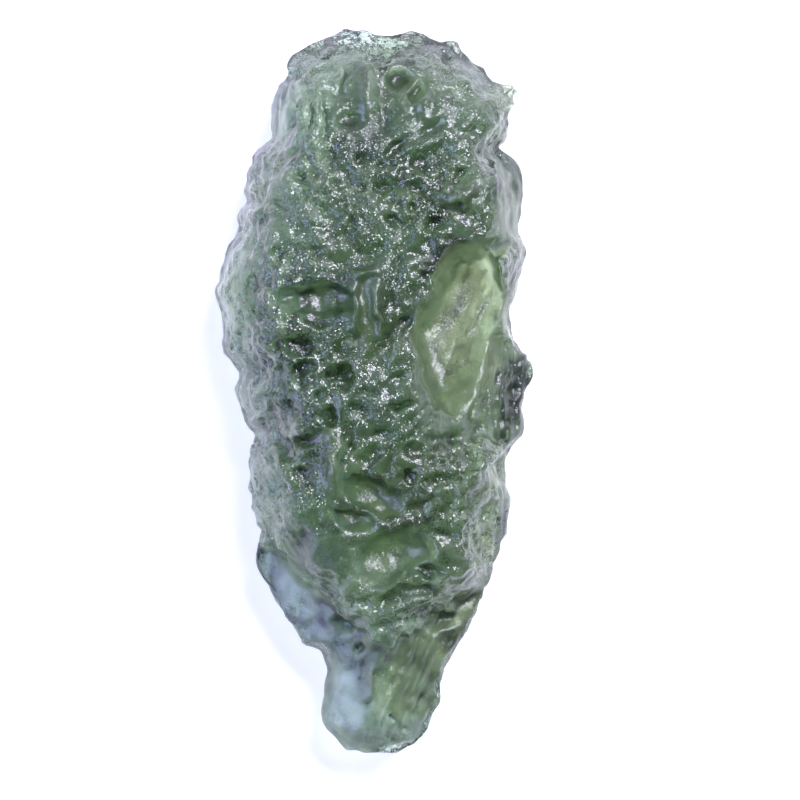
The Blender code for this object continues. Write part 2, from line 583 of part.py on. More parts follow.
def roughen(stone):
    """Lifts swells and lumps along the normals, lower where the stone is thin or smooth."""
    points, normals = points_of(stone), normals_of(stone)
    x, y = points[:, 0], points[:, 1]
    low, high = heights(x, y)
    share = np.clip((high - low) / FULL_ETCH_THICKNESS, THIN_SHARE, 1.0)
    facing_up = smooth_step(normals[:, 2] + 0.7)
    smooth = smooth_share(*wandered(x, y), rim_distance(x, y)) * facing_up
    share *= 1.0 - (1.0 - SMOOTH_SHARE) * smooth
    share *= 1.0 - resting(x, y) * smooth_step(0.3 - normals[:, 2])
    lift = SWELL[1] * noise_at(points, SWELL[0], 2)
    lift += ROUGHNESS[1] * noise_at(points, ROUGHNESS[0], 0)
    place(stone, points + normals * (share * lift)[:, None])


def wear(stone):
    """Flattens the lowest spots, which then lie in one plane."""
    points = points_of(stone)
    points[:, 2] = np.maximum(points[:, 2], points[:, 2].min() + WORN)
    place(stone, points)


def seat(stone):
    """Brings the stone to its size and place, with its worn flats on the ground."""
    points = points_of(stone)
    lowest, highest = points.min(axis=0), points.max(axis=0)
    points -= (lowest + highest) / 2
    points *= np.array((WIDTH, LENGTH, THICKNESS)) / (highest - lowest)
    points[:, 2] += THICKNESS / 2
    points[points[:, 2] < FLAT_WITHIN, 2] = 0.0
    place(stone, points * MM)


for old in list(bpy.data.objects):
    bpy.data.objects.remove(old)
parts = bpy.data.collections.new("moldavite")
bpy.context.scene.collection.children.link(parts)
moldavite = cut_slab(parts)
shape(moldavite)
roughen(moldavite)
wear(moldavite)
triangles = sum(len(face.vertices) - 2 for face in moldavite.data.polygons)
with_modifier(moldavite, "DECIMATE", ratio=MOST_TRIANGLES / triangles)
seat(moldavite)

glass = bpy.data.materials.new("etched_tektite_glass")
glass.use_nodes = True
surface = glass.node_tree.nodes["Principled BSDF"]
surface.inputs["Base Color"].default_value = (*GLASS_COLOUR, 1.0)
surface.inputs["Metallic"].default_value = 0.0
surface.inputs["Roughness"].default_value = GLASS_ROUGHNESS
surface.inputs["IOR"].default_value = GLASS_IOR
surface.inputs["Transmission Weight"].default_value = GLASS_CLEARNESS
moldavite.data.materials.append(glass)
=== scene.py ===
"""A moldavite: a natural drop of green glass, deeply etched, lying on a pale table.

The drop is one piece of glass. This script makes its finely etched surface round the plain solid
that the frame holds, and gives it its glass, a table, soft light and a camera looking down on it.
Lengths in the stone's section are in millimetres, with +Z up and +Y along the drop towards its
broad end, and they are turned to metres where the stone is seated.
"""

import math

import bmesh
import bpy
import numpy as np
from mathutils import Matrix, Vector, noise


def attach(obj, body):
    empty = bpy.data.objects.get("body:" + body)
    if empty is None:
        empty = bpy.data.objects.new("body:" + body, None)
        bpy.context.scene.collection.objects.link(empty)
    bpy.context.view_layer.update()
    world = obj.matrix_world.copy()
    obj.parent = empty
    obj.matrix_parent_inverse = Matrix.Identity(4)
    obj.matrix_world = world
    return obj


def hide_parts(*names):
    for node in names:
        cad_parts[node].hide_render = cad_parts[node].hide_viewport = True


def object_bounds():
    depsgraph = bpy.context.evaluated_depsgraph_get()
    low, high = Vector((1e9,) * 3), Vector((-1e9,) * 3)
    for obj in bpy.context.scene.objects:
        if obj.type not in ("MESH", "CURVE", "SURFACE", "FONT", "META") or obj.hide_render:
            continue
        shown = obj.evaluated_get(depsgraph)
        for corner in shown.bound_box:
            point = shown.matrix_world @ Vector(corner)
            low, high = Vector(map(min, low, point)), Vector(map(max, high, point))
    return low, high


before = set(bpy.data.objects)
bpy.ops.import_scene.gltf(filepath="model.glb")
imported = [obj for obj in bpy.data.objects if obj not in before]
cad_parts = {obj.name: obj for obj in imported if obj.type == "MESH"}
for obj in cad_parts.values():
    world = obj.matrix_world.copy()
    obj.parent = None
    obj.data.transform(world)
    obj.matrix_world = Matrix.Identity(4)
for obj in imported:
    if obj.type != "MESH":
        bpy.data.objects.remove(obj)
cad_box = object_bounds()


# ---------------------------------------------------------------------------------------------
# The drop: tektite glass that splashed out of a meteorite's strike, froze in flight, and then lay
# in acid ground water for millions of years, which etched pits, folds and gutters into it. It is
# cut as a slab with the stone's outline, given its top and its underside, and then etched.
# ---------------------------------------------------------------------------------------------

MM = 0.001

# The rim is the thin blunt edge where top and underside meet. The flanks that rise from it vary in
# width by this share, over this length.
RIM_HEIGHT = 2.7
RIM_THICKNESS = 0.7
LEAST_THICKNESS = 0.9
BASE = RIM_HEIGHT + RIM_THICKNESS / 2
FLANK_WANDER = (0.5, 1.9)

# Meshing: the voxel of the working mesh, and how many triangles the finished piece may have.
VOXEL = 0.12
MOST_TRIANGLES = 196000

# Half the height of the slab that the outline is cut from.
SLAB_HALF = 0.4

# The stone's outline seen from above, clockwise from the peak left of the broad end.
OUTLINE = (
    (-1.4, 18.2), (-0.9, 18.0), (-0.4, 18.1), (0.2, 17.9), (0.8, 17.9), (1.4, 18.1), (1.8, 18.2),
    (2.4, 18.1), (2.9, 17.8), (3.5, 17.6), (4.1, 17.6), (4.3, 17.4), (4.4, 17.0), (4.7, 16.9),
    (5.1, 16.5), (5.5, 16.2), (5.9, 15.6), (6.5, 15.4), (7.0, 15.4), (7.4, 15.1), (7.1, 14.8),
    (7.3, 14.4), (6.9, 14.0), (6.8, 13.5), (6.8, 13.0), (6.5, 12.5), (6.2, 12.3),
    (6.6, 12.0), (7.1, 11.6), (7.4, 11.1), (7.5, 10.4), (7.5, 9.8), (7.4, 9.1), (7.3, 8.3),
    (7.3, 7.9), (7.5, 7.5), (7.6, 7.0), (7.5, 6.3), (7.3, 5.6), (7.1, 4.9), (6.9, 4.3), (6.8, 3.8),
    (6.9, 3.2), (7.0, 2.7), (7.2, 2.3), (7.5, 1.8), (7.9, 1.3), (8.0, 0.9), (7.8, 0.3),
    (7.6, -0.4), (7.4, -0.6), (7.4, -1.0), (7.5, -1.5), (7.6, -1.9), (7.5, -2.2), (7.2, -2.5),
    (6.9, -2.9), (6.8, -3.3), (6.6, -3.8), (6.6, -4.4), (6.6, -4.9), (6.8, -5.4), (6.7, -6.0),
    (6.6, -6.6), (6.6, -7.2), (6.4, -7.6), (6.3, -8.1), (6.0, -8.8), (5.9, -9.5), (5.5, -10.2),
    (5.2, -11.0), (4.9, -11.7), (4.6, -12.2), (4.2, -12.9), (3.8, -13.6), (3.6, -14.2),
    (3.4, -14.8), (3.4, -15.6), (3.2, -16.0), (3.0, -16.5), (2.8, -17.0), (2.5, -17.4),
    (2.0, -17.7), (1.6, -17.9), (1.1, -18.1), (0.4, -18.2), (-0.3, -18.2), (-0.8, -18.1),
    (-1.3, -18.1), (-1.8, -17.5), (-2.3, -17.0), (-2.5, -16.7), (-2.6, -16.1), (-2.5, -15.4),
    (-2.4, -14.8), (-2.3, -14.1), (-2.4, -13.8), (-2.7, -13.0), (-3.2, -12.9), (-3.6, -12.8),
    (-4.0, -12.0), (-4.4, -11.6), (-4.5, -11.1), (-4.8, -10.6), (-5.2, -9.8), (-5.6, -9.4),
    (-5.9, -8.7), (-5.9, -8.2), (-5.7, -7.5), (-5.6, -7.0), (-5.9, -6.8), (-6.0, -6.4),
    (-6.2, -5.8), (-6.0, -5.1), (-6.1, -4.4), (-6.2, -3.7), (-6.2, -3.3), (-5.9, -2.8),
    (-5.8, -2.6), (-5.9, -2.1), (-6.3, -1.9), (-6.5, -1.6), (-6.5, -1.2), (-6.7, -0.8),
    (-6.9, -0.3), (-6.9, 0.2), (-6.7, 0.6), (-6.7, 1.0), (-7.0, 1.4), (-7.4, 1.8), (-7.6, 2.4),
    (-7.5, 2.9), (-7.5, 3.4), (-7.7, 4.1), (-8.0, 4.7), (-8.0, 5.2), (-7.7, 5.6), (-7.6, 6.0),
    (-7.4, 6.5), (-7.3, 7.0), (-6.9, 7.6), (-6.7, 8.3), (-6.8, 8.7), (-6.6, 9.2), (-6.2, 9.5),
    (-6.5, 10.0), (-6.3, 10.5), (-6.3, 10.9), (-6.0, 11.4), (-6.0, 11.8), (-5.8, 12.1),
    (-5.1, 12.6), (-5.0, 12.8), (-5.1, 13.5), (-5.1, 14.3), (-4.9, 14.7), (-4.7, 15.4),
    (-4.4, 15.6), (-4.2, 15.9), (-4.3, 16.2), (-4.2, 16.5), (-3.9, 16.9), (-3.4, 17.2),
    (-2.8, 17.5), (-2.2, 17.7),
)

# Sections along the drop: y, height of the crown, width of the left flank, of the right flank.
SECTIONS = (
    (18.2, 3.9, 1.9, 1.8),
    (16.5, 5.3, 2.1, 1.9),
    (14.5, 6.4, 2.2, 2.0),
    (12.0, 7.3, 2.3, 2.0),
    (9.0, 8.0, 2.6, 2.1),
    (4.0, 8.5, 2.8, 2.2),
    (0.0, 8.6, 2.7, 2.3),
    (-4.0, 8.3, 2.7, 2.3),
    (-8.0, 7.6, 2.7, 2.3),
    (-11.0, 6.8, 2.6, 2.3),
    (-14.0, 5.6, 2.3, 2.1),
    (-18.2, 4.2, 1.9, 1.8),
)

# Crisp hollows of the top: x, y, half length, half width, turn in degrees of the length from +X,
# depth, and how steep the wall is: 2 is a bowl, 5 a flat floor with a steep wall.
PITS = (
    # The thin clear strip along the broad end, and the holes behind it.
    (0.2, 17.05, 2.4, 0.65, 0, 0.7, 2.4),
    (1.3, 15.35, 0.7, 0.55, 10, 0.8, 2.4),
    (2.2, 14.65, 0.75, 0.3, 70, 0.6, 2.4),
    (-1.1, 13.35, 0.85, 0.55, 15, 0.6, 2.4),
    (3.65, 16.7, 0.45, 0.2, -70, 0.6, 2.4),
    # The clear flange on the right, and the notch above it.
    (7.0, 10.05, 2.3, 0.75, 88, 0.9, 3.0),
    (6.4, 11.15, 1.2, 0.33, -80, 1.5, 3.0),
    (6.95, 9.85, 0.95, 0.28, -80, 1.5, 3.0),
    (5.8, 11.55, 0.85, 0.3, 65, 0.7, 2.4),
    # The basin over the great smooth scoop, and the dense shoulder below it on the right.
    (5.6, 6.85, 1.7, 0.75, 12, 0.8, 2.6),
    (7.1, -0.45, 1.3, 0.6, 85, 0.35, 2.4),
    # The left half, with its nest of dark round pits.
    (-2.75, 4.4, 2.1, 1.0, -3, 1.2, 3.0),
    (-2.7, 3.5, 0.9, 0.3, -5, 0.7, 2.4),
    (-1.0, 2.55, 0.6, 0.45, 15, 0.45, 2.2),
    (-3.65, 2.25, 0.85, 0.65, 20, 0.75, 2.3),
    (-4.75, 2.2, 0.5, 0.4, 0, 0.45, 2.2),
    (-3.4, 0.75, 0.75, 0.6, 50, 0.6, 2.2),
    (-1.65, 0.55, 0.95, 0.75, 20, 0.9, 2.3),
    (-2.6, -0.35, 0.7, 0.45, 0, 0.5, 2.2),
    (-2.05, -1.35, 0.65, 0.4, 40, 0.75, 2.3),
    (-3.25, -2.5, 0.6, 0.4, -10, 0.7, 2.3),
    (-5.3, -1.8, 0.65, 0.35, -10, 0.6, 2.3),
    # The middle, below the scoop.
    (1.3, -0.65, 0.8, 0.3, 0, 0.8, 4.0),
    (6.1, -4.3, 1.0, 0.5, 75, 1.4, 3.0),
    # The overlapping bowls of the lower half.
    (0.05, -5.3, 1.8, 1.05, -30, 1.2, 3.2),
    (-1.0, -6.45, 1.3, 0.65, -32, 0.9, 2.6),
    (0.95, -8.25, 2.15, 1.35, 10, 1.5, 3.4),
    (2.75, -9.05, 1.0, 0.55, 10, 0.9, 2.6),
    (2.3, -10.05, 1.5, 0.5, 0, 0.6, 2.4),
    (2.7, -11.35, 1.7, 0.7, -4, 0.9, 2.6),
    (-1.85, -9.85, 1.3, 0.5, -67, 0.6, 2.4),
    (-3.55, -7.95, 1.35, 0.7, 76, 0.5, 2.4),
    (5.45, -7.2, 1.9, 0.95, 84, 1.7, 3.0),
    (-1.35, -11.6, 0.75, 0.5, -20, 0.45, 2.2),
    # The narrow end.
    (-0.65, -12.85, 0.4, 0.3, 30, 0.5, 2.2),
    (1.45, -16.65, 0.95, 0.15, -40, 0.7, 2.4),
)

# Small dimples between the pits: x, y, half length, half width, turn and depth.
DIMPLES = (
    (4.7, 16.55, 1.7, 0.4, -40, 0.45),
    (6.7, 14.65, 0.6, 0.55, 0, 0.45),
    (5.55, 15.05, 0.6, 0.4, 0, 0.35),
    (-1.7, 14.95, 1.35, 0.45, 88, 0.4),
    (-3.3, 15.0, 0.45, 0.4, 0, 0.35),
    (-2.5, 16.25, 0.7, 0.45, 20, 0.3),
    (-4.55, 14.05, 1.8, 0.45, 80, 0.4),
    (-3.75, 13.35, 1.7, 0.2, 87, 0.35),
    (-3.2, 13.25, 1.4, 0.2, 92, 0.3),
    (-2.5, 13.15, 1.2, 0.25, 86, 0.35),
    (2.8, 12.95, 0.9, 0.5, 35, 0.4),
    (4.2, 14.25, 0.7, 0.5, 0, 0.3),
    (0.8, 13.25, 0.6, 0.45, -30, 0.3),
    (4.8, 12.85, 0.65, 0.45, 30, 0.3),
    (0.6, 9.95, 0.75, 0.55, 0, 0.45),
    (-0.9, 9.75, 0.55, 0.4, 20, 0.35),
    (-2.05, 11.65, 0.65, 0.55, 0, 0.4),
    (-0.3, 11.55, 0.65, 0.45, 30, 0.3),
    (1.0, 12.05, 0.9, 0.3, 38, 0.35),
    (2.3, 11.15, 0.65, 0.45, -20, 0.35),
    (3.65, 11.9, 0.65, 0.4, -25, 0.35),
    (4.4, 10.75, 0.6, 0.35, 30, 0.3),
    (2.35, 9.85, 0.6, 0.5, 0, 0.35),
    (4.8, 8.8, 1.6, 0.3, -10, 0.3),
    (3.15, 8.05, 0.6, 0.4, 0, 0.4),
    (1.1, 8.15, 0.8, 0.45, -30, 0.35),
    (-1.1, 7.95, 0.7, 0.55, 40, 0.35),
    (-0.1, 6.85, 0.85, 0.45, 0, 0.35),
    (-2.2, 8.8, 0.7, 0.5, 0, 0.35),
    (-3.7, 7.95, 0.7, 0.45, 20, 0.35),
    (-4.55, 9.3, 0.65, 0.5, -40, 0.4),
    (-5.3, 10.65, 0.75, 0.45, 70, 0.35),
    (-5.6, 8.3, 0.8, 0.6, 45, 0.4),
    (1.3, 6.45, 0.65, 0.45, 40, 0.35),
    (-2.8, 6.8, 0.7, 0.4, 0, 0.3),
    (-4.55, 6.65, 0.7, 0.55, 30, 0.35),
    (-3.8, 10.3, 0.9, 0.4, 80, 0.35),
    (-4.4, 0.25, 1.2, 0.35, 80, 0.4),
    (0.7, 2.15, 0.85, 0.45, 50, 0.3),
    (1.5, 2.95, 1.0, 0.4, 80, 0.3),
    (1.1, 0.45, 0.75, 0.5, 40, 0.4),
    (-0.2, 0.0, 0.5, 0.45, 0, 0.35),
    (-0.6, -1.05, 0.65, 0.5, 0, 0.4),
    (-6.7, 2.35, 1.25, 0.65, 78, 0.5),
    (-5.6, 2.7, 0.65, 0.55, 0, 0.4),
    (-6.3, 4.75, 1.0, 0.55, 70, 0.4),
    (-5.6, 0.3, 0.8, 0.45, 60, 0.4),
    (3.3, -1.35, 1.1, 0.55, 15, 0.35),
    (3.9, -2.3, 0.55, 0.45, 0, 0.4),
    (2.3, -3.05, 0.9, 0.4, 15, 0.4),
    (0.45, -2.25, 0.7, 0.55, 0, 0.35),
    (-0.1, -3.3, 0.8, 0.45, 40, 0.4),
    (4.8, -3.55, 0.65, 0.55, 60, 0.35),
    (3.3, -4.45, 0.7, 0.5, 30, 0.4),
    (1.85, -4.35, 0.65, 0.45, 0, 0.3),
    (-1.1, -2.85, 0.6, 0.4, 60, 0.3),
    (4.05, -5.85, 0.8, 0.5, 0, 0.35),
    (2.3, -5.95, 0.75, 0.45, 10, 0.35),
    (-5.6, -4.55, 1.8, 0.25, -68, 0.4),
    (-5.05, -4.75, 2.0, 0.25, -66, 0.35),
    (-4.45, -4.95, 1.8, 0.25, -64, 0.35),
    (-4.2, -3.05, 1.4, 0.4, -58, 0.4),
    (-5.1, -7.7, 1.5, 0.3, -80, 0.4),
    (-5.6, -5.95, 0.7, 0.4, -70, 0.35),
    (-3.45, -4.2, 0.75, 0.45, -40, 0.35),
    (4.4, -10.45, 0.75, 0.5, 60, 0.4),
    (0.9, -10.25, 0.75, 0.45, 0, 0.35),
    (-0.9, -10.35, 1.0, 0.45, -25, 0.35),
    (4.0, -8.45, 0.7, 0.5, 0, 0.35),
    (3.8, -7.3, 0.65, 0.45, 0, 0.3),
    (-2.7, -9.45, 0.7, 0.4, -30, 0.3),
    (0.55, -11.7, 0.85, 0.5, 0, 0.35),
    (-0.6, -14.2, 0.9, 0.15, 80, 0.3),
    (-0.25, -15.75, 0.35, 0.2, 0, 0.35),
    (-0.4, -17.35, 0.55, 0.15, 85, 0.35),
)

DIMPLE_WALL = 2.3

# Smooth tongues, mounds and ridges that stand up from the crown, in the dimples' form.
MOUNDS = (
    (-0.95, 3.95, 1.7, 0.3, 88, 0.8),
    (0.3, 4.15, 1.7, 0.3, -86, 0.75),
    (-0.35, 5.75, 0.75, 0.4, 0, 0.6),
    (-0.3, 15.15, 1.4, 0.5, 90, 0.55),
    (2.6, 14.35, 1.1, 0.2, 72, 0.3),
    (4.35, 9.7, 1.1, 0.8, 15, 0.6),
    (-1.95, -3.45, 1.8, 0.55, 85, 0.7),
    (-0.1, -12.45, 0.6, 0.45, 0, 0.3),
    (5.2, 3.95, 2.1, 0.3, 68, 0.35),
    (5.9, -0.65, 1.4, 0.15, 84, 0.4),
    (5.25, -0.85, 1.2, 0.15, 82, 0.35),
    (5.5, -2.75, 0.8, 0.2, 80, 0.4),
    (5.8, -3.6, 1.0, 0.2, 42, 0.4),
    (-3.6, 13.95, 0.5, 0.3, 60, 0.35),
    (-2.85, 14.0, 0.5, 0.25, 80, 0.35),
    (-2.9, 12.9, 0.6, 0.25, 80, 0.35),
    (-4.0, 12.2, 0.5, 0.3, 80, 0.35),
    (5.2, 7.85, 1.3, 0.25, -14, 0.3),
    (1.1, -9.65, 2.1, 0.2, 12, 0.5),
    (-5.3, -3.95, 0.7, 0.25, -60, 0.35),
    (-5.8, -5.45, 0.6, 0.25, -70, 0.4),
    (-4.65, -5.8, 0.7, 0.25, -62, 0.3),
    (-5.5, -7.05, 0.6, 0.3, -75, 0.4),
    (-4.9, -8.25, 0.6, 0.25, -80, 0.3),
    (-6.4, 3.65, 0.7, 0.3, 70, 0.4),
    (-6.1, 1.25, 0.6, 0.3, 65, 0.4),
    (-5.4, -0.7, 0.6, 0.25, 75, 0.35),
    (-5.2, 7.05, 0.7, 0.3, 50, 0.35),
    (-5.9, 9.55, 0.6, 0.25, 60, 0.3),
)

# The great smooth scoop: x, y, half length, half width and turn of its edge, and how steep its
# wall is. Its floor is a trough: x, y and turn of its line, then its height there, how fast it
# curves up, and its rise along Y.
SCOOP = (4.4, 3.05, 4.2, 2.3, 80, 9.0)
SCOOP_TROUGH = (3.7, 3.0, 62)
SCOOP_FLOOR = (4.3, 0.16, -0.14)

# Planes that bound the top: x, y and height of a point on each, its rise along X and along Y,
# where along the drop it starts and ends at x = 0, and how those end lines rise along X.
FACETS = (
    (-0.4, -12.8, 5.2, 0.55, 0.16, -22.0, -12.4, -0.78),
    (0.5, -14.5, 5.0, -0.50, 0.20, -22.0, -13.9, 0.74),
    (6.6, 0.0, 4.3, -0.9, 0.0, -2.5, 2.3, 0.0),
    (2.3, -17.0, 3.4, -0.4, 0.8, -22.0, -16.4, 0.0),
)
FACET_END_SLOPE = 1.6
FACET_ROUNDING = 0.25

# The underside: its height over the ground away from the worn flats, and the width of its flanks.
BELLY_HEIGHT = 0.5
BELLY_FLANK = 4.6

# Soft hollows of the underside: x, y, half length, half width, turn and depth.
UNDER_HOLLOWS = (
    (-1.8, 12.6, 2.4, 1.5, 70, 1.1),
    (2.9, 9.6, 2.2, 1.4, 110, 0.9),
    (-3.9, 5.2, 2.6, 1.4, 80, 1.1),
    (4.4, 3.0, 3.4, 1.6, 74, 1.2),
    (-3.4, -1.4, 2.2, 1.5, 100, 1.0),
    (3.3, -4.3, 2.2, 1.3, 80, 0.7),
    (-2.3, -7.4, 2.3, 1.3, 75, 0.9),
    (1.8, -10.2, 2.2, 1.2, 105, 0.8),
    (-0.2, -14.4, 1.9, 1.0, 90, 0.6),
    (0.4, 16.0, 1.6, 0.9, 10, 0.6),
)

# Worn flats that the stone lies on, x, y and radius, and how much is worn off them.
RESTS = ((1.5, 8.6, 1.3), (-1.8, 2.2, 1.6), (1.1, -6.6, 1.3))
WORN = 0.12
FLAT_WITHIN = 0.04

# How smooth each facet and, last, the scoop stayed, over what height a facet's edge fades, and
# over what length its end does.
FACE_SMOOTH = (1.0, 0.95, 0.5, 0.6, 0.95)
FACE_EDGE = 0.12
FACE_END = 0.3

# Stretches that the etching left smooth: x, y, half length, half width, turn and how smooth. Below
# them stands the share of the roughness that is left on a fully smooth one.
SMOOTH_PATCHES = (
    (6.9, 9.95, 2.3, 1.0, 88, 0.8),
    (-0.35, 4.3, 2.0, 0.95, 90, 0.85),
    (-2.75, 4.55, 1.9, 0.9, -3, 0.6),
    (4.35, 9.7, 1.2, 0.9, 15, 0.5),
    (-0.3, 15.05, 1.4, 0.65, 90, 0.7),
    (-1.7, 14.95, 1.2, 0.5, 90, 0.6),
    (0.05, -5.3, 1.7, 0.95, -30, 0.8),
    (-1.0, -6.45, 1.2, 0.6, -32, 0.7),
    (0.95, -8.25, 2.0, 1.25, 10, 0.8),
    (-3.55, -7.95, 1.4, 0.8, 76, 0.8),
    (-1.95, -3.45, 1.7, 0.5, 85, 0.5),
    (7.1, -0.25, 2.4, 1.0, 86, 0.5),
    (1.05, 13.95, 3.75, 1.8, 0, 0.5),
    (0.3, -7.7, 3.1, 2.5, 0, 0.35),
    (5.3, 7.05, 1.7, 0.7, 12, 0.6),
    (-4.45, 14.15, 1.7, 0.6, 82, 0.5),
    (-1.1, -15.85, 3.1, 2.3, 90, 0.85),
)
SMOOTH_SHARE = 0.25

# Small hollows strewn over the whole top: how many, the range of their half lengths, their least
# and most width for that length, their depth for their half width, and the wall.
STREWN = 340
STREWN_SIZES = (0.36, 1.3)
STREWN_WIDTHS = (0.6, 0.95)
STREWN_DEPTH = 0.30
STREWN_WALL = 2.6
STREWN_SEED = 11

# The hollows come in crowds: how far apart, and how much shallower they are between the crowds.
CROWDS = (2.6, 0.7)

# How far, and over what length, the edges of the hollows wander, and how much the crests between
# the hollows are rounded.
WANDER = ((0.30, 1.9), (0.22, 0.6))
CREST_ROUNDING = 0.11

# The top's hollows are deeper towards the broad end, which lay uppermost in the ground.
LEAN = 0.45

# Far apart parts of the one noise.
FAR_PARTS = (Vector((0.0, 0.0, 0.0)), Vector((31.4, 0.0, 0.0)), Vector((0.0, 57.7, 0.0)))

# Etching of the whole surface: the width of its lumps and how high they stand. Stretches thinner
# than this get less of it, down to this share.
ETCHING = ((0.75, 0.182), (0.36, 0.078))
FULL_ETCH_THICKNESS = 3.5
THIN_SHARE = 0.6

# Flow lines in the glass that the acid picked out: x, y, half length, half width, turn, height.
# Below them stand the width and the length of one line.
STRIAE = (
    (2.4, -14.05, 3.75, 1.8, 66, 0.11),
    (6.3, 2.3, 3.1, 1.1, 72, 0.07),
    (6.95, -0.2, 2.4, 1.3, 88, 0.13),
    (4.8, 3.05, 3.0, 0.8, 66, 0.05),
    (-5.1, -5.45, 3.2, 1.2, -66, 0.25),
    (-3.7, 13.8, 2.1, 1.2, 86, 0.12),
    (2.3, -1.2, 1.5, 0.9, 48, 0.14),
    (-1.95, -3.2, 1.7, 0.6, 85, 0.05),
    (-2.45, -10.95, 3.0, 1.1, -50, 0.05),
    (1.5, 11.95, 1.5, 0.8, 38, 0.1),
)
STRIA_WIDTH = 0.20
STRIA_LENGTH = 2.4

# Crowds of small burst bubbles: x, y, half length, half width and turn. Below them stand how far
# apart the bubbles are and how deep one is.
BUBBLES = (
    (1.3, 10.05, 5.25, 1.9, 0),
    (-3.7, 0.95, 2.0, 2.4, 80),
    (-1.45, 0.55, 0.9, 0.7, 0),
    (5.45, -7.05, 2.1, 0.9, 82),
    (3.3, -3.95, 2.0, 1.3, 20),
    (-6.2, 3.05, 1.5, 1.0, 70),
    (6.7, 14.65, 0.9, 0.8, 0),
    (-0.2, 17.05, 2.5, 0.8, 0),
    (2.8, -10.95, 2.2, 0.7, 0),
    (-1.2, -9.95, 1.2, 0.9, 0),
)
BUBBLE_CELL = 0.62
BUBBLE_DEPTH = 0.22

# Broad swells of the surface: how wide and how high they are.
SWELL = (2.6, 0.30)

# Where the glass under the skin looks dense and dark, and where it looks clear and pale. The dark
# patches are mostly painted shade, along the cliff of the scoop, in the nest of round pits, on the
# upper walls of the bowls, in the cracks of the left rim and over the shoulder on the right, with
# some darker glass among them. The pale ones are partly painted light, where light shines through
# thin glass and on bright lips. Each is x, y, half length, half width, turn and strength.
DENSE_AND_PAINTED_SHADE = (
    (3.5, 6.65, 1.5, 0.4, 41, 0.95),
    (1.05, 12.8, 3.75, 2.5, 0, 0.4),
    (1.3, 9.3, 3.5, 2.25, 0, 0.1),
    (-2.7, 3.5, 0.7, 0.3, -5, 0.6),
    (-3.8, 2.05, 1.1, 0.9, 0, 0.55),
    (-1.55, 0.65, 0.8, 0.65, 0, 0.6),
    (-1.95, -1.35, 0.6, 0.45, 40, 0.6),
    (-3.25, -2.5, 0.55, 0.4, -10, 0.7),
    (-5.3, -1.8, 0.55, 0.35, -10, 0.7),
    (-3.4, 0.85, 0.5, 0.45, 0, 0.6),
    (-2.8, 5.5, 1.7, 0.2, -3, 0.6),
    (-1.65, 5.0, 0.45, 0.3, 0, 0.6),
    (6.1, 1.95, 2.3, 0.35, 68, 0.5),
    (7.0, -0.05, 2.2, 0.95, 86, 0.93),
    (-6.7, 2.35, 0.9, 0.15, 78, 0.5),
    (-6.2, 4.95, 0.8, 0.15, 70, 0.5),
    (-5.6, 0.25, 0.7, 0.15, 60, 0.6),
    (-5.2, 10.75, 0.6, 0.15, 70, 0.5),
    (-4.55, 9.25, 0.5, 0.15, -40, 0.5),
    (-5.55, 8.25, 0.6, 0.15, 45, 0.5),
    (-6.0, -1.85, 0.7, 0.15, 80, 0.5),
    (-5.6, -4.65, 1.3, 0.1, -68, 0.6),
    (-4.9, -5.45, 1.5, 0.1, -64, 0.5),
    (-5.3, -7.35, 1.0, 0.1, -75, 0.5),
    (-1.7, 3.95, 1.5, 0.15, 86, 0.6),
    (1.1, 3.95, 1.5, 0.15, -84, 0.5),
    (6.6, 10.15, 1.5, 0.12, -76, 0.85),
    (7.4, 10.05, 1.3, 0.12, -88, 0.7),
    (5.95, 10.95, 1.3, 0.3, -76, 0.7),
    (6.4, -6.55, 1.3, 0.35, 80, 0.8),
    (5.8, 3.45, 3.0, 0.8, 74, 0.2),
    (-3.7, -7.5, 1.3, 0.15, -40, 0.6),
    (-2.1, -10.05, 1.5, 0.15, -60, 0.6),
    (-1.2, -11.9, 0.9, 0.15, -40, 0.5),
    (3.9, -12.55, 1.0, 0.55, -40, 0.6),
    (1.4, -13.2, 1.1, 0.65, -30, 0.5),
    (-0.65, -12.85, 0.35, 0.3, 0, 0.6),
    (1.55, -6.65, 1.7, 0.4, 8, 0.7),
    (-1.0, -5.8, 1.0, 0.4, -25, 0.65),
    (0.4, -4.5, 1.4, 0.25, -32, 0.75),
    (2.9, -9.05, 0.75, 0.4, 12, 0.7),
    (2.55, -11.1, 1.4, 0.3, -5, 0.6),
    (1.3, -0.65, 0.75, 0.3, 0, 0.5),
    (1.3, 15.35, 0.6, 0.55, 0, 0.6),
    (3.65, 16.7, 0.4, 0.2, -60, 0.6),
    (-3.5, -7.8, 1.0, 0.5, 76, 0.4),
)
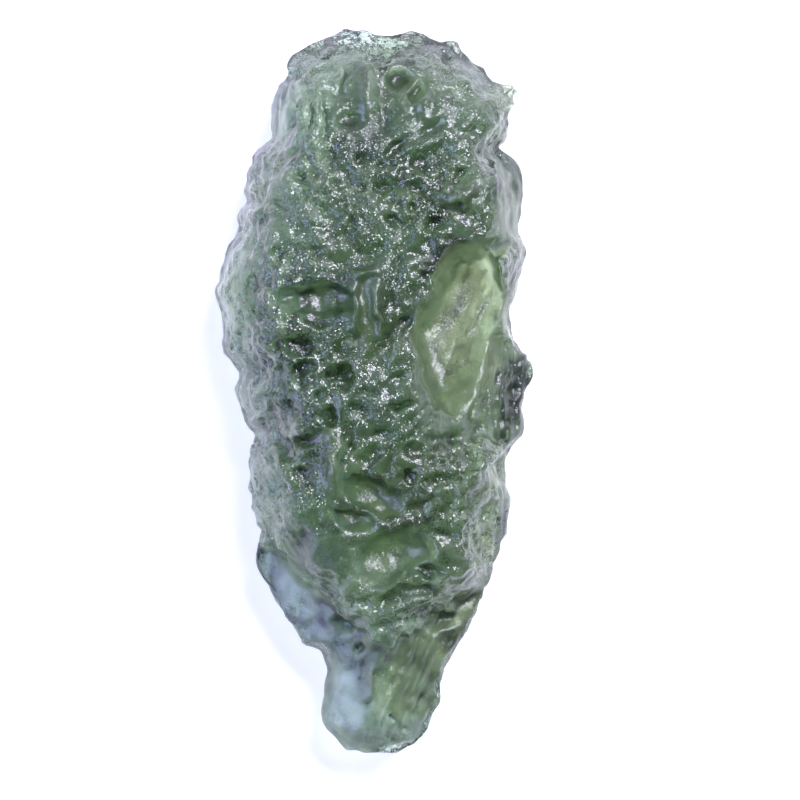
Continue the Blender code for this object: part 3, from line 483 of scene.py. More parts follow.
# Painted light: pale patches where light shines through thin glass and on bright lips.
CLEAR_AND_PAINTED_LIGHT = (
    (5.8, 7.05, 1.6, 0.6, 10, 0.5),
    (5.15, 3.95, 1.9, 0.3, 70, 0.6),
    (0.2, 17.05, 2.5, 0.75, 0, 0.35),
    (-0.3, 15.05, 1.1, 0.45, 90, 0.5),
    (-0.35, 4.3, 1.8, 0.6, 90, 0.45),
    (1.1, -9.65, 2.0, 0.15, 12, 0.6),
    (-3.2, 13.3, 1.5, 0.65, 85, 0.4),
    (-4.95, -4.8, 1.9, 0.65, -68, 0.95),
    (0.55, -0.45, 4.0, 2.75, 90, 0.22),
    (0.55, -7.7, 3.75, 2.75, 90, 0.1),
    (5.5, -7.35, 1.7, 0.8, 84, 0.9),
    (-1.4, -15.85, 1.9, 0.85, 98, 0.7),
    (0.55, -15.45, 1.7, 0.5, 96, 0.5),
    (-6.7, 2.3, 2.0, 0.6, 80, 0.6),
    (-7.1, 5.05, 1.3, 0.5, 80, 0.5),
    (6.05, -4.35, 0.9, 0.5, 80, 0.6),
    (6.4, 11.15, 1.1, 0.3, -80, 0.9),
    (6.95, 9.85, 0.85, 0.25, -80, 0.9),
    (-4.55, 14.05, 1.7, 0.5, 80, 0.5),
    (-3.7, -10.45, 1.5, 0.7, -50, 0.4),
    (6.7, 14.65, 0.7, 0.6, 0, 0.6),
)

# Where the skin is tinted blue, and where the glass looks olive, in the same form. The blue along
# the left side, on the low left facet and at the tip is partly a painted reflection of the cool
# window. Below them stand soft clouds of hue: how wide they are and how strong.
COOL_AND_WINDOW_REFLECTION = (
    (-4.55, 14.05, 1.8, 0.55, 80, 0.9),
    (-5.6, 11.55, 1.5, 0.6, 60, 0.5),
    (2.8, 12.9, 1.0, 0.6, 30, 0.6),
    (5.9, 10.35, 0.8, 0.45, 80, 0.7),
    (-4.5, -0.25, 1.3, 0.4, 80, 0.8),
    (-5.6, -0.45, 3.5, 0.9, 85, 0.5),
    (-4.35, -3.05, 0.9, 0.3, -58, 0.8),
    (-4.95, -4.8, 1.9, 0.65, -68, 0.5),
    (1.95, 3.45, 2.0, 0.2, 82, 0.7),
    (-0.85, -11.75, 0.5, 0.35, 0, 0.9),
    (-1.8, -13.7, 4.6, 1.2, 110, 0.6),
    (-2.5, -15.45, 2.5, 0.6, 95, 0.7),
    (2.3, 16.05, 3.0, 0.5, -10, 0.4),
)
WARM = (
    (-0.35, 3.95, 1.7, 0.6, 90, 0.5),
    (-1.95, -3.45, 1.7, 0.55, 85, 0.5),
    (0.95, -8.25, 2.0, 1.25, 10, 0.4),
    (0.05, -5.3, 1.7, 0.95, -30, 0.4),
    (3.3, 8.8, 2.0, 1.0, 0, 0.4),
    (-2.2, 4.55, 1.7, 0.9, 0, 0.4),
)
HUE_CLOUDS = (3.0, 0.5)

# How clear each facet and, last, the scoop look, from 0 for dense to 1 for clear, and their hue,
# from 0 for olive to 1 for blue. Their darker tones are partly painted shade, the scoop's clear
# tone partly painted light through its thin glass, and the blue of the first facet, low on the
# left, a painted reflection of the cool window.
FACE_LOOKS = ((0.38, 0.85), (0.42, 0.2), (0.45, 0.5), (0.65, 0.6), (1.0, 0.2))

# The tone of plain glass and of the underside, and clouds in the glass: how wide they are and how
# much they change its tone.
PLAIN_TONE = 0.6
UNDERSIDE_TONE = 0.8
CLOUDS = ((0.7, 0.25), (1.3, 0.2), (3.1, 0.3))

# Painted shade: hollows are painted darker and crests lighter, judged over how many steps of the
# mesh each, and by how much it changes the tone. The walls on the broad end's side of a hollow,
# which face away from the soft box, are painted darker too, and the walls that face it lighter.
PAINTED_HOLLOW_SHADES = ((6, 0.04), (45, 0.10))
PAINTED_SIDE_SHADE = 0.25

# Patches fade out just past their ovals. Those of tone and hue have ragged edges: by how much, and
# how wide the rags are.
PATCH_END = 1.15
PATCH_FADE = 0.3
RAGS = (0.25, 0.8)
RAGGED_FADE = 0.5


def smooth_step(t):
    t = np.clip(t, 0.0, 1.0)
    return t * t * (3.0 - 2.0 * t)


def noise_at(points, size, part=0):
    """Smooth noise over lumps of this size, from one of its far apart parts."""
    shift = FAR_PARTS[part]
    return np.array([noise.noise(Vector(point) / size + shift) for point in points])


def wandered(x, y):
    """The same points moved a little, so that no hollow is a plain oval."""
    for far, length in WANDER:
        flat = np.stack((x, y, np.full_like(x, length)), axis=1)
        x, y = x + far * noise_at(flat, length, 0), y + far * noise_at(flat, length, 1)
    return x, y


def rim_distance(x, y):
    """How far each point is from the outline."""
    nearest = np.full(x.shape, np.inf)
    for (ax, ay), (bx, by) in zip(OUTLINE, OUTLINE[1:] + OUTLINE[:1]):
        dx, dy = bx - ax, by - ay
        along = np.clip(((x - ax) * dx + (y - ay) * dy) / (dx * dx + dy * dy), 0.0, 1.0)
        nearest = np.minimum(nearest, np.hypot(x - ax - along * dx, y - ay - along * dy))
    return nearest


def across(x, y, form):
    """How far out each point is in a form's oval: 0 in its middle and 1 at its edge."""
    cx, cy, half_length, half_width, turn = form[:5]
    c, s = math.cos(math.radians(turn)), math.sin(math.radians(turn))
    u = ((x - cx) * c + (y - cy) * s) / half_length
    v = ((y - cy) * c - (x - cx) * s) / half_width
    return np.hypot(u, v)


def deeper(a, b, rounding):
    """The greater of two depths, with the crest between them rounded."""
    mix = np.clip(0.5 + 0.5 * (a - b) / rounding, 0.0, 1.0)
    return b + (a - b) * mix + rounding * mix * (1.0 - mix)


def pitted(x, y, hollows, lean):
    """The depth of the deepest of these hollows at each point, so neighbours meet in a crest."""
    depth = np.zeros_like(x)
    for hollow in hollows:
        cy, half_length, half_width = hollow[1:4]
        most, wall = hollow[5:]
        uphill = np.clip((y - cy) / math.sqrt(half_length * half_width), -1.0, 1.0)
        bowl = most * (1.0 + lean * uphill) * (1.0 - across(x, y, hollow) ** wall)
        depth = deeper(depth, bowl, CREST_ROUNDING)
    return depth


def strewn():
    """The small hollows, each as one row of PITS."""
    dice = np.random.default_rng(STREWN_SEED)
    low, high = np.array(OUTLINE).min(axis=0), np.array(OUTLINE).max(axis=0)
    places = low + dice.random((STREWN, 2)) * (high - low)
    lengths = STREWN_SIZES[0] * (STREWN_SIZES[1] / STREWN_SIZES[0]) ** dice.random(STREWN)
    narrow, wide = STREWN_WIDTHS
    widths = lengths * (narrow + (wide - narrow) * dice.random(STREWN))
    turns = 180.0 * dice.random(STREWN)
    depths = STREWN_DEPTH * widths * (0.6 + 0.8 * dice.random(STREWN))
    walls = np.full(STREWN, STREWN_WALL)
    return np.column_stack((places, lengths, widths, turns, depths, walls))


def swollen(x, y, forms):
    """The sum of these soft forms."""
    return sum(form[5] * np.exp(-1.8 * across(x, y, form) ** 2) for form in forms)


def inside(x, y, patches):
    """1 in the middle of a patch, or the share it names, falling to 0 at its edge."""
    share = np.zeros_like(x)
    for patch in patches:
        most = patch[5] if len(patch) > 5 else 1.0
        edge = smooth_step((PATCH_END - across(x, y, patch)) / PATCH_FADE)
        share = np.maximum(share, most * edge)
    return share


def resting(x, y):
    """1 on the worn flats, falling to 0 around them."""
    share = np.zeros_like(x)
    for cx, cy, radius in RESTS:
        share = np.maximum(share, smooth_step((1.7 - np.hypot(x - cx, y - cy) / radius) / 0.7))
    return share


def underside(x, y, from_rim):
    belly = 1.0 - (1.0 - np.clip(from_rim / BELLY_FLANK, 0.0, 1.0)) ** 2.2
    rim = RIM_HEIGHT - RIM_THICKNESS / 2
    return rim - (rim - BELLY_HEIGHT) * belly + swollen(x, y, UNDER_HOLLOWS)


def domed(x, y, from_rim):
    """The top before it was broken and etched, and how far up its dome each point is."""
    sections = np.array(SECTIONS)[::-1].T
    crown, left, right = (np.interp(y, sections[0], row) for row in sections[1:])
    flank = left + (right - left) * smooth_step(0.5 + x / 4.0)
    flank *= 1.0 + FLANK_WANDER[0] * noise_at(np.stack((x, y, 0 * x), axis=1), FLANK_WANDER[1], 2)
    dome = 1.0 - (1.0 - np.clip(from_rim / flank, 0.0, 1.0)) ** 2.0
    return BASE + (crown - BASE) * dome, dome


def past_end(x, y, facet):
    """How far each point is past either end of a facet."""
    start, end, skew = facet[5:]
    up = y - skew * x
    return np.maximum(up - end, 0.0) + np.maximum(start - up, 0.0)


def plane_at(x, y, facet):
    """The height of a facet's plane, which turns up steeply past the facet's ends."""
    px, py, pz, rise_x, rise_y = facet[:5]
    plane = pz + rise_x * (x - px) + rise_y * (y - py) + FACET_END_SLOPE * past_end(x, y, facet)
    return np.maximum(plane, BASE)


def faces(x, y, from_rim):
    """How much each point is on each facet and, last, in the scoop."""
    z = domed(x, y, from_rim)[0]
    shares = []
    for facet in FACETS:
        under = smooth_step((z - plane_at(x, y, facet)) / FACE_EDGE)
        shares.append(under * smooth_step(1.0 - past_end(x, y, facet) / FACE_END))
    return [*shares, smooth_step((1.02 - across(x, y, SCOOP)) / 0.06)]


def smooth_share(x, y, from_rim):
    """1 where the surface stayed smooth: in the smooth patches, on the facets and in the scoop."""
    share = inside(x, y, SMOOTH_PATCHES)
    for face, smooth in zip(faces(x, y, from_rim), FACE_SMOOTH):
        share = np.maximum(share, smooth * face)
    return share


def top(x, y, from_rim):
    z, dome = domed(x, y, from_rim)
    for facet in FACETS:
        z = -deeper(-z, -plane_at(x, y, facet), FACET_ROUNDING)
    turn = math.radians(SCOOP_TROUGH[2])
    aside = (x - SCOOP_TROUGH[0]) * math.sin(turn) - (y - SCOOP_TROUGH[1]) * math.cos(turn)
    floor = SCOOP_FLOOR[0] + SCOOP_FLOOR[1] * aside**2 + SCOOP_FLOOR[2] * (y - SCOOP_TROUGH[1])
    out = np.minimum(across(x, y, SCOOP), 1.0)
    z = z - np.maximum(z - floor, 0.0) * (1.0 - out**SCOOP[5])
    z = z + swollen(x, y, MOUNDS) * dome
    dimples = pitted(x, y, [(*form, DIMPLE_WALL) for form in DIMPLES], LEAN)
    crowds = noise_at(np.stack((x, y, 0 * x), axis=1), CROWDS[0], 0)
    rough = 1.0 - smooth_share(x, y, from_rim)
    rough *= 1.0 - CROWDS[1] * smooth_step(0.5 - 1.6 * crowds)
    small = deeper(dimples, pitted(x, y, strewn(), LEAN) * rough, CREST_ROUNDING)
    hollows = deeper(small, pitted(x, y, PITS, LEAN), CREST_ROUNDING)
    return z - hollows * np.clip(dome * 1.6, 0.2, 1.0)


def with_modifier(stone, kind, **settings):
    """Adds a modifier, and makes its result the stone's mesh."""
    modifier = stone.modifiers.new(kind.title(), kind)
    for name, value in settings.items():
        setattr(modifier, name, value)
    graph = bpy.context.evaluated_depsgraph_get()
    result = bpy.data.meshes.new_from_object(stone.evaluated_get(graph))
    stone.modifiers.clear()
    old, stone.data = stone.data, result
    bpy.data.meshes.remove(old)


def points_of(stone):
    points = np.empty(len(stone.data.vertices) * 3)
    stone.data.vertices.foreach_get("co", points)
    return points.reshape(-1, 3)


def normals_of(stone):
    normals = np.empty(len(stone.data.vertices) * 3)
    stone.data.vertices.foreach_get("normal", normals)
    return normals.reshape(-1, 3)


def place(stone, points):
    stone.data.vertices.foreach_set("co", points.ravel())
    stone.data.update()


def cut_slab():
    """The outline as a slab, meshed evenly."""
    curve = bpy.data.curves.new("outline", "CURVE")
    curve.dimensions = "2D"
    curve.fill_mode = "BOTH"
    curve.extrude = SLAB_HALF
    spline = curve.splines.new("POLY")
    spline.points.add(len(OUTLINE) - 1)
    spline.use_cyclic_u = True
    for point, (x, y) in zip(spline.points, OUTLINE):
        point.co = (x, y, 0.0, 1.0)
    guide = bpy.data.objects.new("outline", curve)
    bpy.context.scene.collection.objects.link(guide)
    graph = bpy.context.evaluated_depsgraph_get()
    mesh = bpy.data.meshes.new_from_object(guide.evaluated_get(graph))
    bpy.data.objects.remove(guide)
    slab = bmesh.new()
    slab.from_mesh(mesh)
    bmesh.ops.remove_doubles(slab, verts=slab.verts, dist=1e-4)
    slab.to_mesh(mesh)
    slab.free()
    mesh.name = "etched_drop"
    stone = bpy.data.objects.new("etched_drop", mesh)
    bpy.context.scene.collection.objects.link(stone)
    with_modifier(stone, "REMESH", mode="VOXEL", voxel_size=VOXEL)
    return stone


def heights(x, y):
    """The underside and the top over each point."""
    from_rim = rim_distance(x, y)
    near_x, near_y = wandered(x, y)
    low = underside(near_x, near_y, from_rim) * (1.0 - resting(x, y))
    return low, np.maximum(top(near_x, near_y, from_rim), low + LEAST_THICKNESS)


def shape(stone):
    """Moves the slab's two faces to the top and the underside, and its edge in between."""
    points = points_of(stone)
    x, y, z = points.T
    low, high = heights(x, y)
    points[:, 2] = low + (high - low) * (0.5 + 0.5 * np.clip(z / SLAB_HALF, -1.0, 1.0))
    place(stone, points)
    with_modifier(stone, "REMESH", mode="VOXEL", voxel_size=VOXEL)


def streaks(points):
    """The height of the flow lines: long thin lumps, each patch along its own turn."""
    x, y, z = points.T
    height = np.zeros_like(x)
    for patch in STRIAE:
        turn, most = math.radians(patch[4]), patch[5]
        along = x * math.cos(turn) + y * math.sin(turn)
        aside = y * math.cos(turn) - x * math.sin(turn)
        lines = np.stack((along / STRIA_LENGTH, aside / STRIA_WIDTH, z / STRIA_LENGTH), axis=1)
        height += most * inside(x, y, (patch[:5],)) * noise_at(lines, 1.0)
    return height


def standing(stone, steps):
    """How far each point stands over a smoothed copy of the surface, in spreads of that."""
    points, normals = points_of(stone), normals_of(stone)
    ends = np.empty(len(stone.data.edges) * 2, np.int32)
    stone.data.edges.foreach_get("vertices", ends)
    a, b = ends.reshape(-1, 2).T
    count = np.bincount(a, minlength=len(points)) + np.bincount(b, minlength=len(points))
    smooth = points.copy()
    for _ in range(steps):
        near = [
            np.bincount(a, smooth[b, i], len(points)) + np.bincount(b, smooth[a, i], len(points))
            for i in range(3)
        ]
        smooth = np.stack(near, axis=1) / count[:, None]
    over = np.sum((points - smooth) * normals, axis=1)
    return np.clip(over / over.std(), -2.5, 2.5)


def ragged_shares(x, y, patches, rags):
    """How much each point is in each of these patches, whose edges are ragged."""
    for patch in patches:
        yield patch[5] * smooth_step((PATCH_END - across(x, y, patch) + rags) / RAGGED_FADE)


def tone_and_painted_light(stone, facing_up):
    """How clear the glass is under the skin, from 0 for dense to 1 for clear, with painted shade
    and painted light worked in, and its hue, with a painted blue reflection.
    """
    points, normals = points_of(stone), normals_of(stone)
    from_rim = rim_distance(*points.T[:2])
    x, y = wandered(*points.T[:2])
    rags = RAGS[0] * noise_at(points, RAGS[1])
    tone = np.full_like(x, PLAIN_TONE)
    for size, part in CLOUDS:
        tone += part * noise_at(points, size, 1)
    hue = 0.5 + HUE_CLOUDS[1] * noise_at(points, HUE_CLOUDS[0], 2)
    # Olive patches, and blue ones that are partly a painted reflection of the cool window.
    for patches, target in ((WARM, 0.0), (COOL_AND_WINDOW_REFLECTION, 1.0)):
        for share in ragged_shares(x, y, patches, rags):
            hue += (target - hue) * share
    # The facets' tones and hues: partly painted shade, painted light in the scoop, and a painted
    # reflection on the low left facet.
    for face, (face_tone, face_hue) in zip(faces(x, y, from_rim), FACE_LOOKS):
        tone += (face_tone - PLAIN_TONE) * face
        hue += (face_hue - hue) * face
    # Painted light: the pale patches lighten the tone.
    for share in ragged_shares(x, y, CLEAR_AND_PAINTED_LIGHT, rags):
        tone += (1.0 - tone) * share
    tone = UNDERSIDE_TONE + (tone - UNDERSIDE_TONE) * facing_up
    # Painted shade in the hollows and painted light on the crests.
    for steps, part in PAINTED_HOLLOW_SHADES:
        tone += part * standing(stone, steps)
    # Painted shade on walls facing away from the soft box, painted light on walls facing it.
    tone += PAINTED_SIDE_SHADE * normals[:, 1] * facing_up
    tone = np.clip(tone, 0.0, 1.0)
    # Painted shade: the dark patches darken the tone last, over all else.
    for share in ragged_shares(x, y, DENSE_AND_PAINTED_SHADE, rags):
        tone *= 1.0 - share
    return tone, np.clip(hue, 0.0, 1.0)


def painted(stone, name, values):
    """Keeps one number for each point on the mesh, for the material to read."""
    layer = stone.data.attributes.new(name, "FLOAT", "POINT")
    layer.data.foreach_set("value", values.astype(np.float32))


def etch(stone):
    """Leaves lumps and folds on the surface, lower where the stone is thin or smooth."""
    points, normals = points_of(stone), normals_of(stone)
    x, y, z = points.T
    low, high = heights(x, y)
    share = np.clip((high - low) / FULL_ETCH_THICKNESS, THIN_SHARE, 1.0)
    facing_up = smooth_step(normals[:, 2] + 0.7)
    satin = smooth_share(*wandered(x, y), rim_distance(x, y)) * facing_up
    share *= 1.0 - (1.0 - SMOOTH_SHARE) * satin
    share *= 1.0 - resting(x, y) * smooth_step(0.3 - normals[:, 2])
    lift = SWELL[1] * noise_at(points, SWELL[0], 2)
    cells = [noise.voronoi(Vector(point) / BUBBLE_CELL)[0][0] for point in points]
    lift -= BUBBLE_DEPTH * inside(x, y, BUBBLES) * smooth_step((0.5 - np.array(cells)) / 0.35)
    for number, (size, height) in enumerate(ETCHING):
        shifts = [noise_at(points, size * 1.3, part) for part in range(3)]
        bent = points + 0.5 * size * np.stack(shifts, axis=1)
        lift += height * noise_at(bent, size, number)
    lift = share * lift + streaks(points)
    points += normals * lift[:, None]
    place(stone, points)
    painted(stone, "satin", satin)
    for name, values in zip(("tone", "hue"), tone_and_painted_light(stone, facing_up)):
        painted(stone, name, values)


def wear(stone):
    """Flattens the lowest spots, which then lie in one plane."""
    points = points_of(stone)
    points[:, 2] = np.maximum(points[:, 2], points[:, 2].min() + WORN)
    place(stone, points)


def seat(stone, box):
    """Brings the stone to the frame's box, with its worn flats on the ground."""
    points = points_of(stone)
    lowest, highest = points.min(axis=0), points.max(axis=0)
    box_low, box_high = np.array(box[0]), np.array(box[1])
    points = box_low + (points - lowest) / (highest - lowest) * (box_high - box_low)
    points[points[:, 2] < FLAT_WITHIN * MM, 2] = 0.0
    place(stone, points)


stone = cut_slab()
shape(stone)
etch(stone)
wear(stone)
triangles = sum(len(face.vertices) - 2 for face in stone.data.polygons)
if triangles > MOST_TRIANGLES:
    with_modifier(stone, "DECIMATE", ratio=MOST_TRIANGLES / triangles)
seat(stone, cad_box)
stone.data.shade_smooth()


def linear(colour):
    """An sRGB hex value as linear red, green and blue."""
    parts = [int(colour[i : i + 2], 16) / 255 for i in (1, 3, 5)]
    return tuple(p / 12.92 if p <= 0.04045 else ((p + 0.055) / 1.055) ** 2.4 for p in parts)


def add_node(tree, kind, settings=None, **links):
    """Adds a node, sets its sockets and settings, and links the named sockets."""
    node = tree.nodes.new(kind)
    for name, value in (settings or {}).items():
        if name in node.inputs:
            node.inputs[name].default_value = value
        else:
            setattr(node, name, value)
    for name, source in links.items():
        tree.links.new(source, node.inputs[name.replace("_", " ")])
    return node


def two_in(tree, kind, operation, first, second):
    """What a maths node makes of two sockets, or of a socket and a constant."""
    node = add_node(tree, kind, {"operation": operation})
    for socket, source in zip(node.inputs, (first, second)):
        if isinstance(source, bpy.types.NodeSocket):
            tree.links.new(source, socket)
        else:
            socket.default_value = source
    return node.outputs[0]


def ranged(tree, value, from_low, from_high, to_low, to_high, kind="LINEAR"):
    """A value brought from one range to another."""
    return add_node(tree, "ShaderNodeMapRange", {
        "interpolation_type": kind,
        "From Min": from_low,
        "From Max": from_high,
        "To Min": to_low,
        "To Max": to_high,
    }, Value=value).outputs["Result"]


def ramp(tree, value, low, middle_at, middle, high):
    """A colour for each value, from low at 0 through a middle one to high at 1."""
    node = add_node(tree, "ShaderNodeValToRGB", Fac=value)
    stops = node.color_ramp.elements
    stops[0].color = (*linear(low), 1.0)
    stops[1].color = (*linear(high), 1.0)
    stops.new(middle_at).color = (*linear(middle), 1.0)
    return node.outputs["Color"]


# Tektite glass, frosted by acid ground water: clear bottle-green glass under a satin skin, so what
# lies behind it is blurred to a soft glow, while the tiny etched facets of the skin still flash.
# The tints run from dense and dark to clear, the dark end carrying painted shade and the clear end
# painted light, and the hues from olive to blue, the blue partly a painted reflection of the cool
# window. The grain is drawn about three times coarser than real etching, which would be too fine to
# see here. It flashes in swarms, and lies nearly flat on the stone's flanks.
GLASS_IOR = 1.49
GLASS_GLOSS = 0.2
GLASS_SATIN = 0.38
DENSE_AND_SHADE_TINT = "#202B28"
PLAIN_TINT = "#BCCDBC"
CLEAR_AND_LIT_TINT = "#FFFFF8"
OLIVE_TINT = "#FFFCDA"
PLAIN_HUE = "#F7FFF8"
BLUE_AND_REFLECTION_TINT = "#DCE4FF"
SKIN_GLOSS = 0.42
SEE_THROUGH = 0.985
SKIN_SHARE = 0.4
GLASS_TINT = "#8CB073"
GLASS_DENSITY = 300.0
GRAIN_SIZE = 0.065 * MM
GRAIN_TILT = 0.8
GRAIN_LEVELS = (0.3, 0.85)
SMOOTH_GRAIN = 0.45
SWARM_SIZE = 1.5 * MM
SWARM_EDGE = (0.38, 0.6)
SWARM_SHARES = (0.5, 1.2)
LUMP_SIZE = 0.22 * MM
LUMP_DEPTH = 0.005 * MM

glass = bpy.data.materials.new("etched_tektite_glass")
glass.use_nodes = True
tree = glass.node_tree
tree.nodes.clear()
spot = add_node(tree, "ShaderNodeTexCoord").outputs["Object"]
satin = add_node(tree, "ShaderNodeAttribute", {"attribute_name": "satin"}).outputs["Fac"]
tone = add_node(tree, "ShaderNodeAttribute", {"attribute_name": "tone"}).outputs["Fac"]
hue = add_node(tree, "ShaderNodeAttribute", {"attribute_name": "hue"}).outputs["Fac"]

# The skin: low lumps, and over them the grain of tiny facets, each leaning its own way.
lumps = add_node(tree, "ShaderNodeTexNoise", {"Scale": 1.0 / LUMP_SIZE, "Detail": 2.0}, Vector=spot)
skin = add_node(
    tree, "ShaderNodeBump", {"Strength": 1.0, "Distance": LUMP_DEPTH}, Height=lumps.outputs["Fac"]
).outputs["Normal"]
grain = add_node(tree, "ShaderNodeTexVoronoi", {"Scale": 1.0 / GRAIN_SIZE}, Vector=spot)
middle_grey = (0.5, 0.5, 0.5)
lean = two_in(tree, "ShaderNodeVectorMath", "SUBTRACT", grain.outputs["Color"], middle_grey)
way_up = add_node(tree, "ShaderNodeNewGeometry").outputs["Normal"]
level = add_node(tree, "ShaderNodeSeparateXYZ", Vector=way_up).outputs["Z"]
level_tilt = ranged(tree, level, *GRAIN_LEVELS, 0.0, GRAIN_TILT)
grain_share = ranged(tree, satin, 0.0, 1.0, 1.0, SMOOTH_GRAIN)
swarms = add_node(
    tree, "ShaderNodeTexNoise", {"Scale": 1.0 / SWARM_SIZE, "Detail": 1.0}, Vector=spot
).outputs["Fac"]
swarm_share = ranged(tree, swarms, *SWARM_EDGE, *SWARM_SHARES, "SMOOTHSTEP")
some_tilt = two_in(tree, "ShaderNodeMath", "MULTIPLY", level_tilt, grain_share)
most_tilt = two_in(tree, "ShaderNodeMath", "MULTIPLY", some_tilt, swarm_share)
tilt = add_node(
    tree, "ShaderNodeVectorMath", {"operation": "SCALE"}, Vector=lean, Scale=most_tilt
).outputs["Vector"]
leaning = two_in(tree, "ShaderNodeVectorMath", "ADD", skin, tilt)
facets = add_node(
    tree, "ShaderNodeVectorMath", {"operation": "NORMALIZE"}, Vector=leaning
).outputs["Vector"]

# The colour under the skin: a tint for how dense the glass is, with painted shade and painted light
# in it, times a hue with a painted blue reflection in it.
tone_and_shade_tint = ramp(tree, tone, DENSE_AND_SHADE_TINT, PLAIN_TONE, PLAIN_TINT, CLEAR_AND_LIT_TINT)
hue_and_reflection_tint = ramp(tree, hue, OLIVE_TINT, 0.5, PLAIN_HUE, BLUE_AND_REFLECTION_TINT)
body_tint = add_node(tree, "ShaderNodeMix", {"data_type": "RGBA", "blend_type": "MULTIPLY"})
body_tint.inputs["Factor"].default_value = 1.0
tree.links.new(tone_and_shade_tint, body_tint.inputs[6])
tree.links.new(hue_and_reflection_tint, body_tint.inputs[7])

gloss = ranged(tree, satin, 0.0, 1.0, GLASS_GLOSS, GLASS_SATIN)
surface = add_node(tree, "ShaderNodeBsdfPrincipled", {
    "IOR": GLASS_IOR,
    "Transmission Weight": SEE_THROUGH,
    "Coat Weight": SKIN_SHARE,
    "Coat Roughness": SKIN_GLOSS,
    "Coat IOR": GLASS_IOR,
}, Normal=facets, Base_Color=body_tint.outputs[2], Roughness=gloss, Coat_Normal=skin)
body = add_node(tree, "ShaderNodeVolumeAbsorption", {
    "Color": (*linear(GLASS_TINT), 1.0),
    "Density": GLASS_DENSITY,
})
add_node(
    tree, "ShaderNodeOutputMaterial", Surface=surface.outputs["BSDF"], Volume=body.outputs["Volume"]
)
stone.data.materials.clear()
stone.data.materials.append(glass)

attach(stone, "root")
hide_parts("moldavite")


# ---------------------------------------------------------------------------------------------
# The table: a sheet of white card, lit until it is nearly paper white. It lies a hair under the
# worn flats of the stone, as a real stone touches its table in a few grains only.
# ---------------------------------------------------------------------------------------------

TABLE_SIZE = 1.2
TABLE_GAP = 0.06 * MM
TABLE_WHITE = "#EEEEEF"
TABLE_GLOW = 0.42

bpy.ops.mesh.primitive_plane_add(size=TABLE_SIZE, location=(0.0, 0.0, -TABLE_GAP))
table = bpy.context.object
table.name = "white_card"
card = bpy.data.materials.new("matt_white_card")
card.use_nodes = True
card_surface = card.node_tree.nodes["Principled BSDF"]
card_surface.inputs["Base Color"].default_value = (*linear(TABLE_WHITE), 1.0)
card_surface.inputs["Roughness"].default_value = 0.8
card_surface.inputs["Emission Color"].default_value = (1.0, 1.0, 1.0, 1.0)
card_surface.inputs["Emission Strength"].default_value = TABLE_GLOW
table.data.materials.append(card)


# ---------------------------------------------------------------------------------------------
# The light: a soft box high on the right, beyond the broad end, a wide cool window low on the
# left, and a pale tent all round with a dark ceiling, which keeps the glass deep green. The tent
# is darker beyond the stone's lower right, and bluer on the left.
# ---------------------------------------------------------------------------------------------

KEY_PLACE = (0.13, 0.17, 0.26)
KEY_SIZE = (0.16, 0.16)
KEY_WATTS = 2.3
KEY_COLOUR = "#ECECFF"
WINDOW_PLACE = (-0.24, -0.03, 0.16)
WINDOW_SIZE = (0.26, 0.20)
WINDOW_WATTS = 1.1
WINDOW_COLOUR = "#C2C8FF"
TENT_WHITE = "#F4F2FF"
TENT_COOL = "#A9B4FF"
TENT_STRENGTH = 0.6
CEILING_STRENGTH = 0.06
TENT_TOP = (0.60, 0.88)
DARK_SIDE = (0.75, -0.65, 0.0)
DARK_SIDE_SHARE = 0.15
DARK_SIDE_EDGE = (0.1, 0.8)
COOL_SIDE_EDGE = (-0.9, 0.1)


def soft_box(name, place_at, size, watts, colour):
    """An area light that faces the stone."""
    light = bpy.data.lights.new(name, "AREA")
    light.shape = "RECTANGLE"
    light.size, light.size_y = size
    light.energy = watts
    light.color = linear(colour)
    lamp = bpy.data.objects.new(name, light)
    bpy.context.scene.collection.objects.link(lamp)
    lamp.location = place_at
    lamp.rotation_euler = Vector(place_at).to_track_quat("Z", "Y").to_euler()


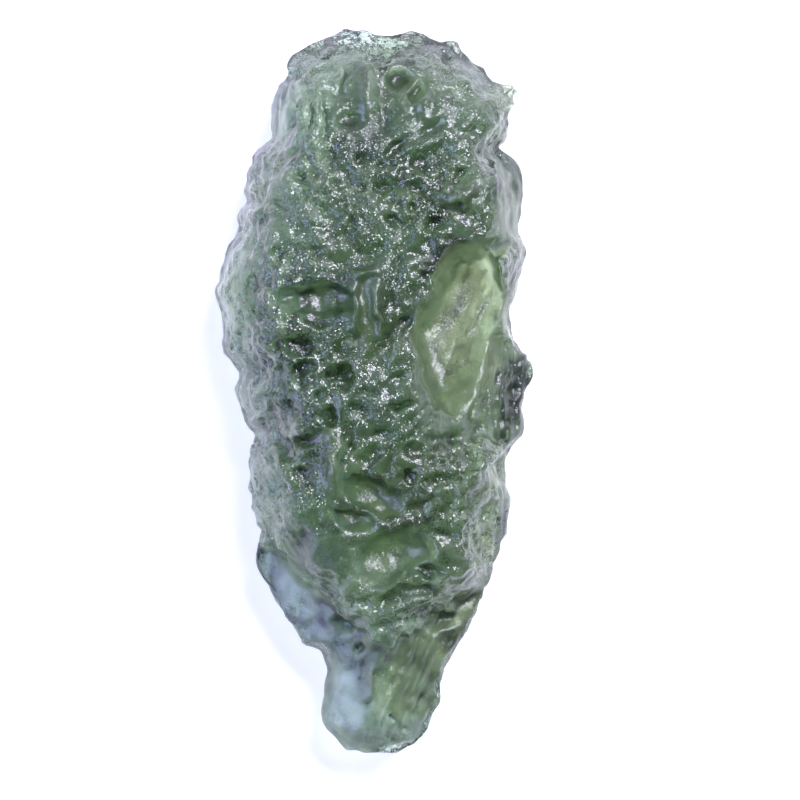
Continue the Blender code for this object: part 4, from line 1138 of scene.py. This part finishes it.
soft_box("key_box", KEY_PLACE, KEY_SIZE, KEY_WATTS, KEY_COLOUR)
soft_box("window", WINDOW_PLACE, WINDOW_SIZE, WINDOW_WATTS, WINDOW_COLOUR)

tent = bpy.data.worlds.new("light_tent")
tent.use_nodes = True
sky = tent.node_tree
sky.nodes.clear()
way = add_node(sky, "ShaderNodeTexCoord").outputs["Generated"]
parts_of_way = add_node(sky, "ShaderNodeSeparateXYZ", Vector=way)
east, _, up = parts_of_way.outputs
walls = ranged(sky, up, *TENT_TOP, TENT_STRENGTH, CEILING_STRENGTH, "SMOOTHSTEP")
darkness = add_node(sky, "ShaderNodeVectorMath", {"operation": "DOT_PRODUCT"}, Vector=way)
darkness.inputs[1].default_value = DARK_SIDE
open_side = ranged(
    sky, darkness.outputs["Value"], *DARK_SIDE_EDGE, 1.0, DARK_SIDE_SHARE, "SMOOTHSTEP"
)
strength = two_in(sky, "ShaderNodeMath", "MULTIPLY", walls, open_side)
cool_side = ranged(sky, east, *COOL_SIDE_EDGE, 1.0, 0.0, "SMOOTHSTEP")
tent_colour = add_node(sky, "ShaderNodeMix", {"data_type": "RGBA"})
sky.links.new(cool_side, tent_colour.inputs["Factor"])
for socket, colour in ((6, TENT_WHITE), (7, TENT_COOL)):
    tent_colour.inputs[socket].default_value = (*linear(colour), 1.0)
glow = add_node(sky, "ShaderNodeBackground", Color=tent_colour.outputs[2], Strength=strength)
add_node(sky, "ShaderNodeOutputWorld", Surface=glow.outputs["Background"])
scene = bpy.context.scene
scene.world = tent
scene.view_settings.view_transform = "Standard"
scene.cycles.max_bounces = 28
scene.cycles.transmission_bounces = 28
scene.cycles.glossy_bounces = 12


# ---------------------------------------------------------------------------------------------
# The camera: a long lens straight above the stone, its broad end up in the picture.
# ---------------------------------------------------------------------------------------------

LENS_MM = 270.0
SENSOR_MM = 36.0
CAMERA_PLACE = (0.0013, -0.00045, 0.304)

lens = bpy.data.cameras.new("camera")
lens.lens = LENS_MM
lens.sensor_width = SENSOR_MM
camera = bpy.data.objects.new("camera", lens)
camera.location = CAMERA_PLACE
scene.collection.objects.link(camera)
scene.camera = camera
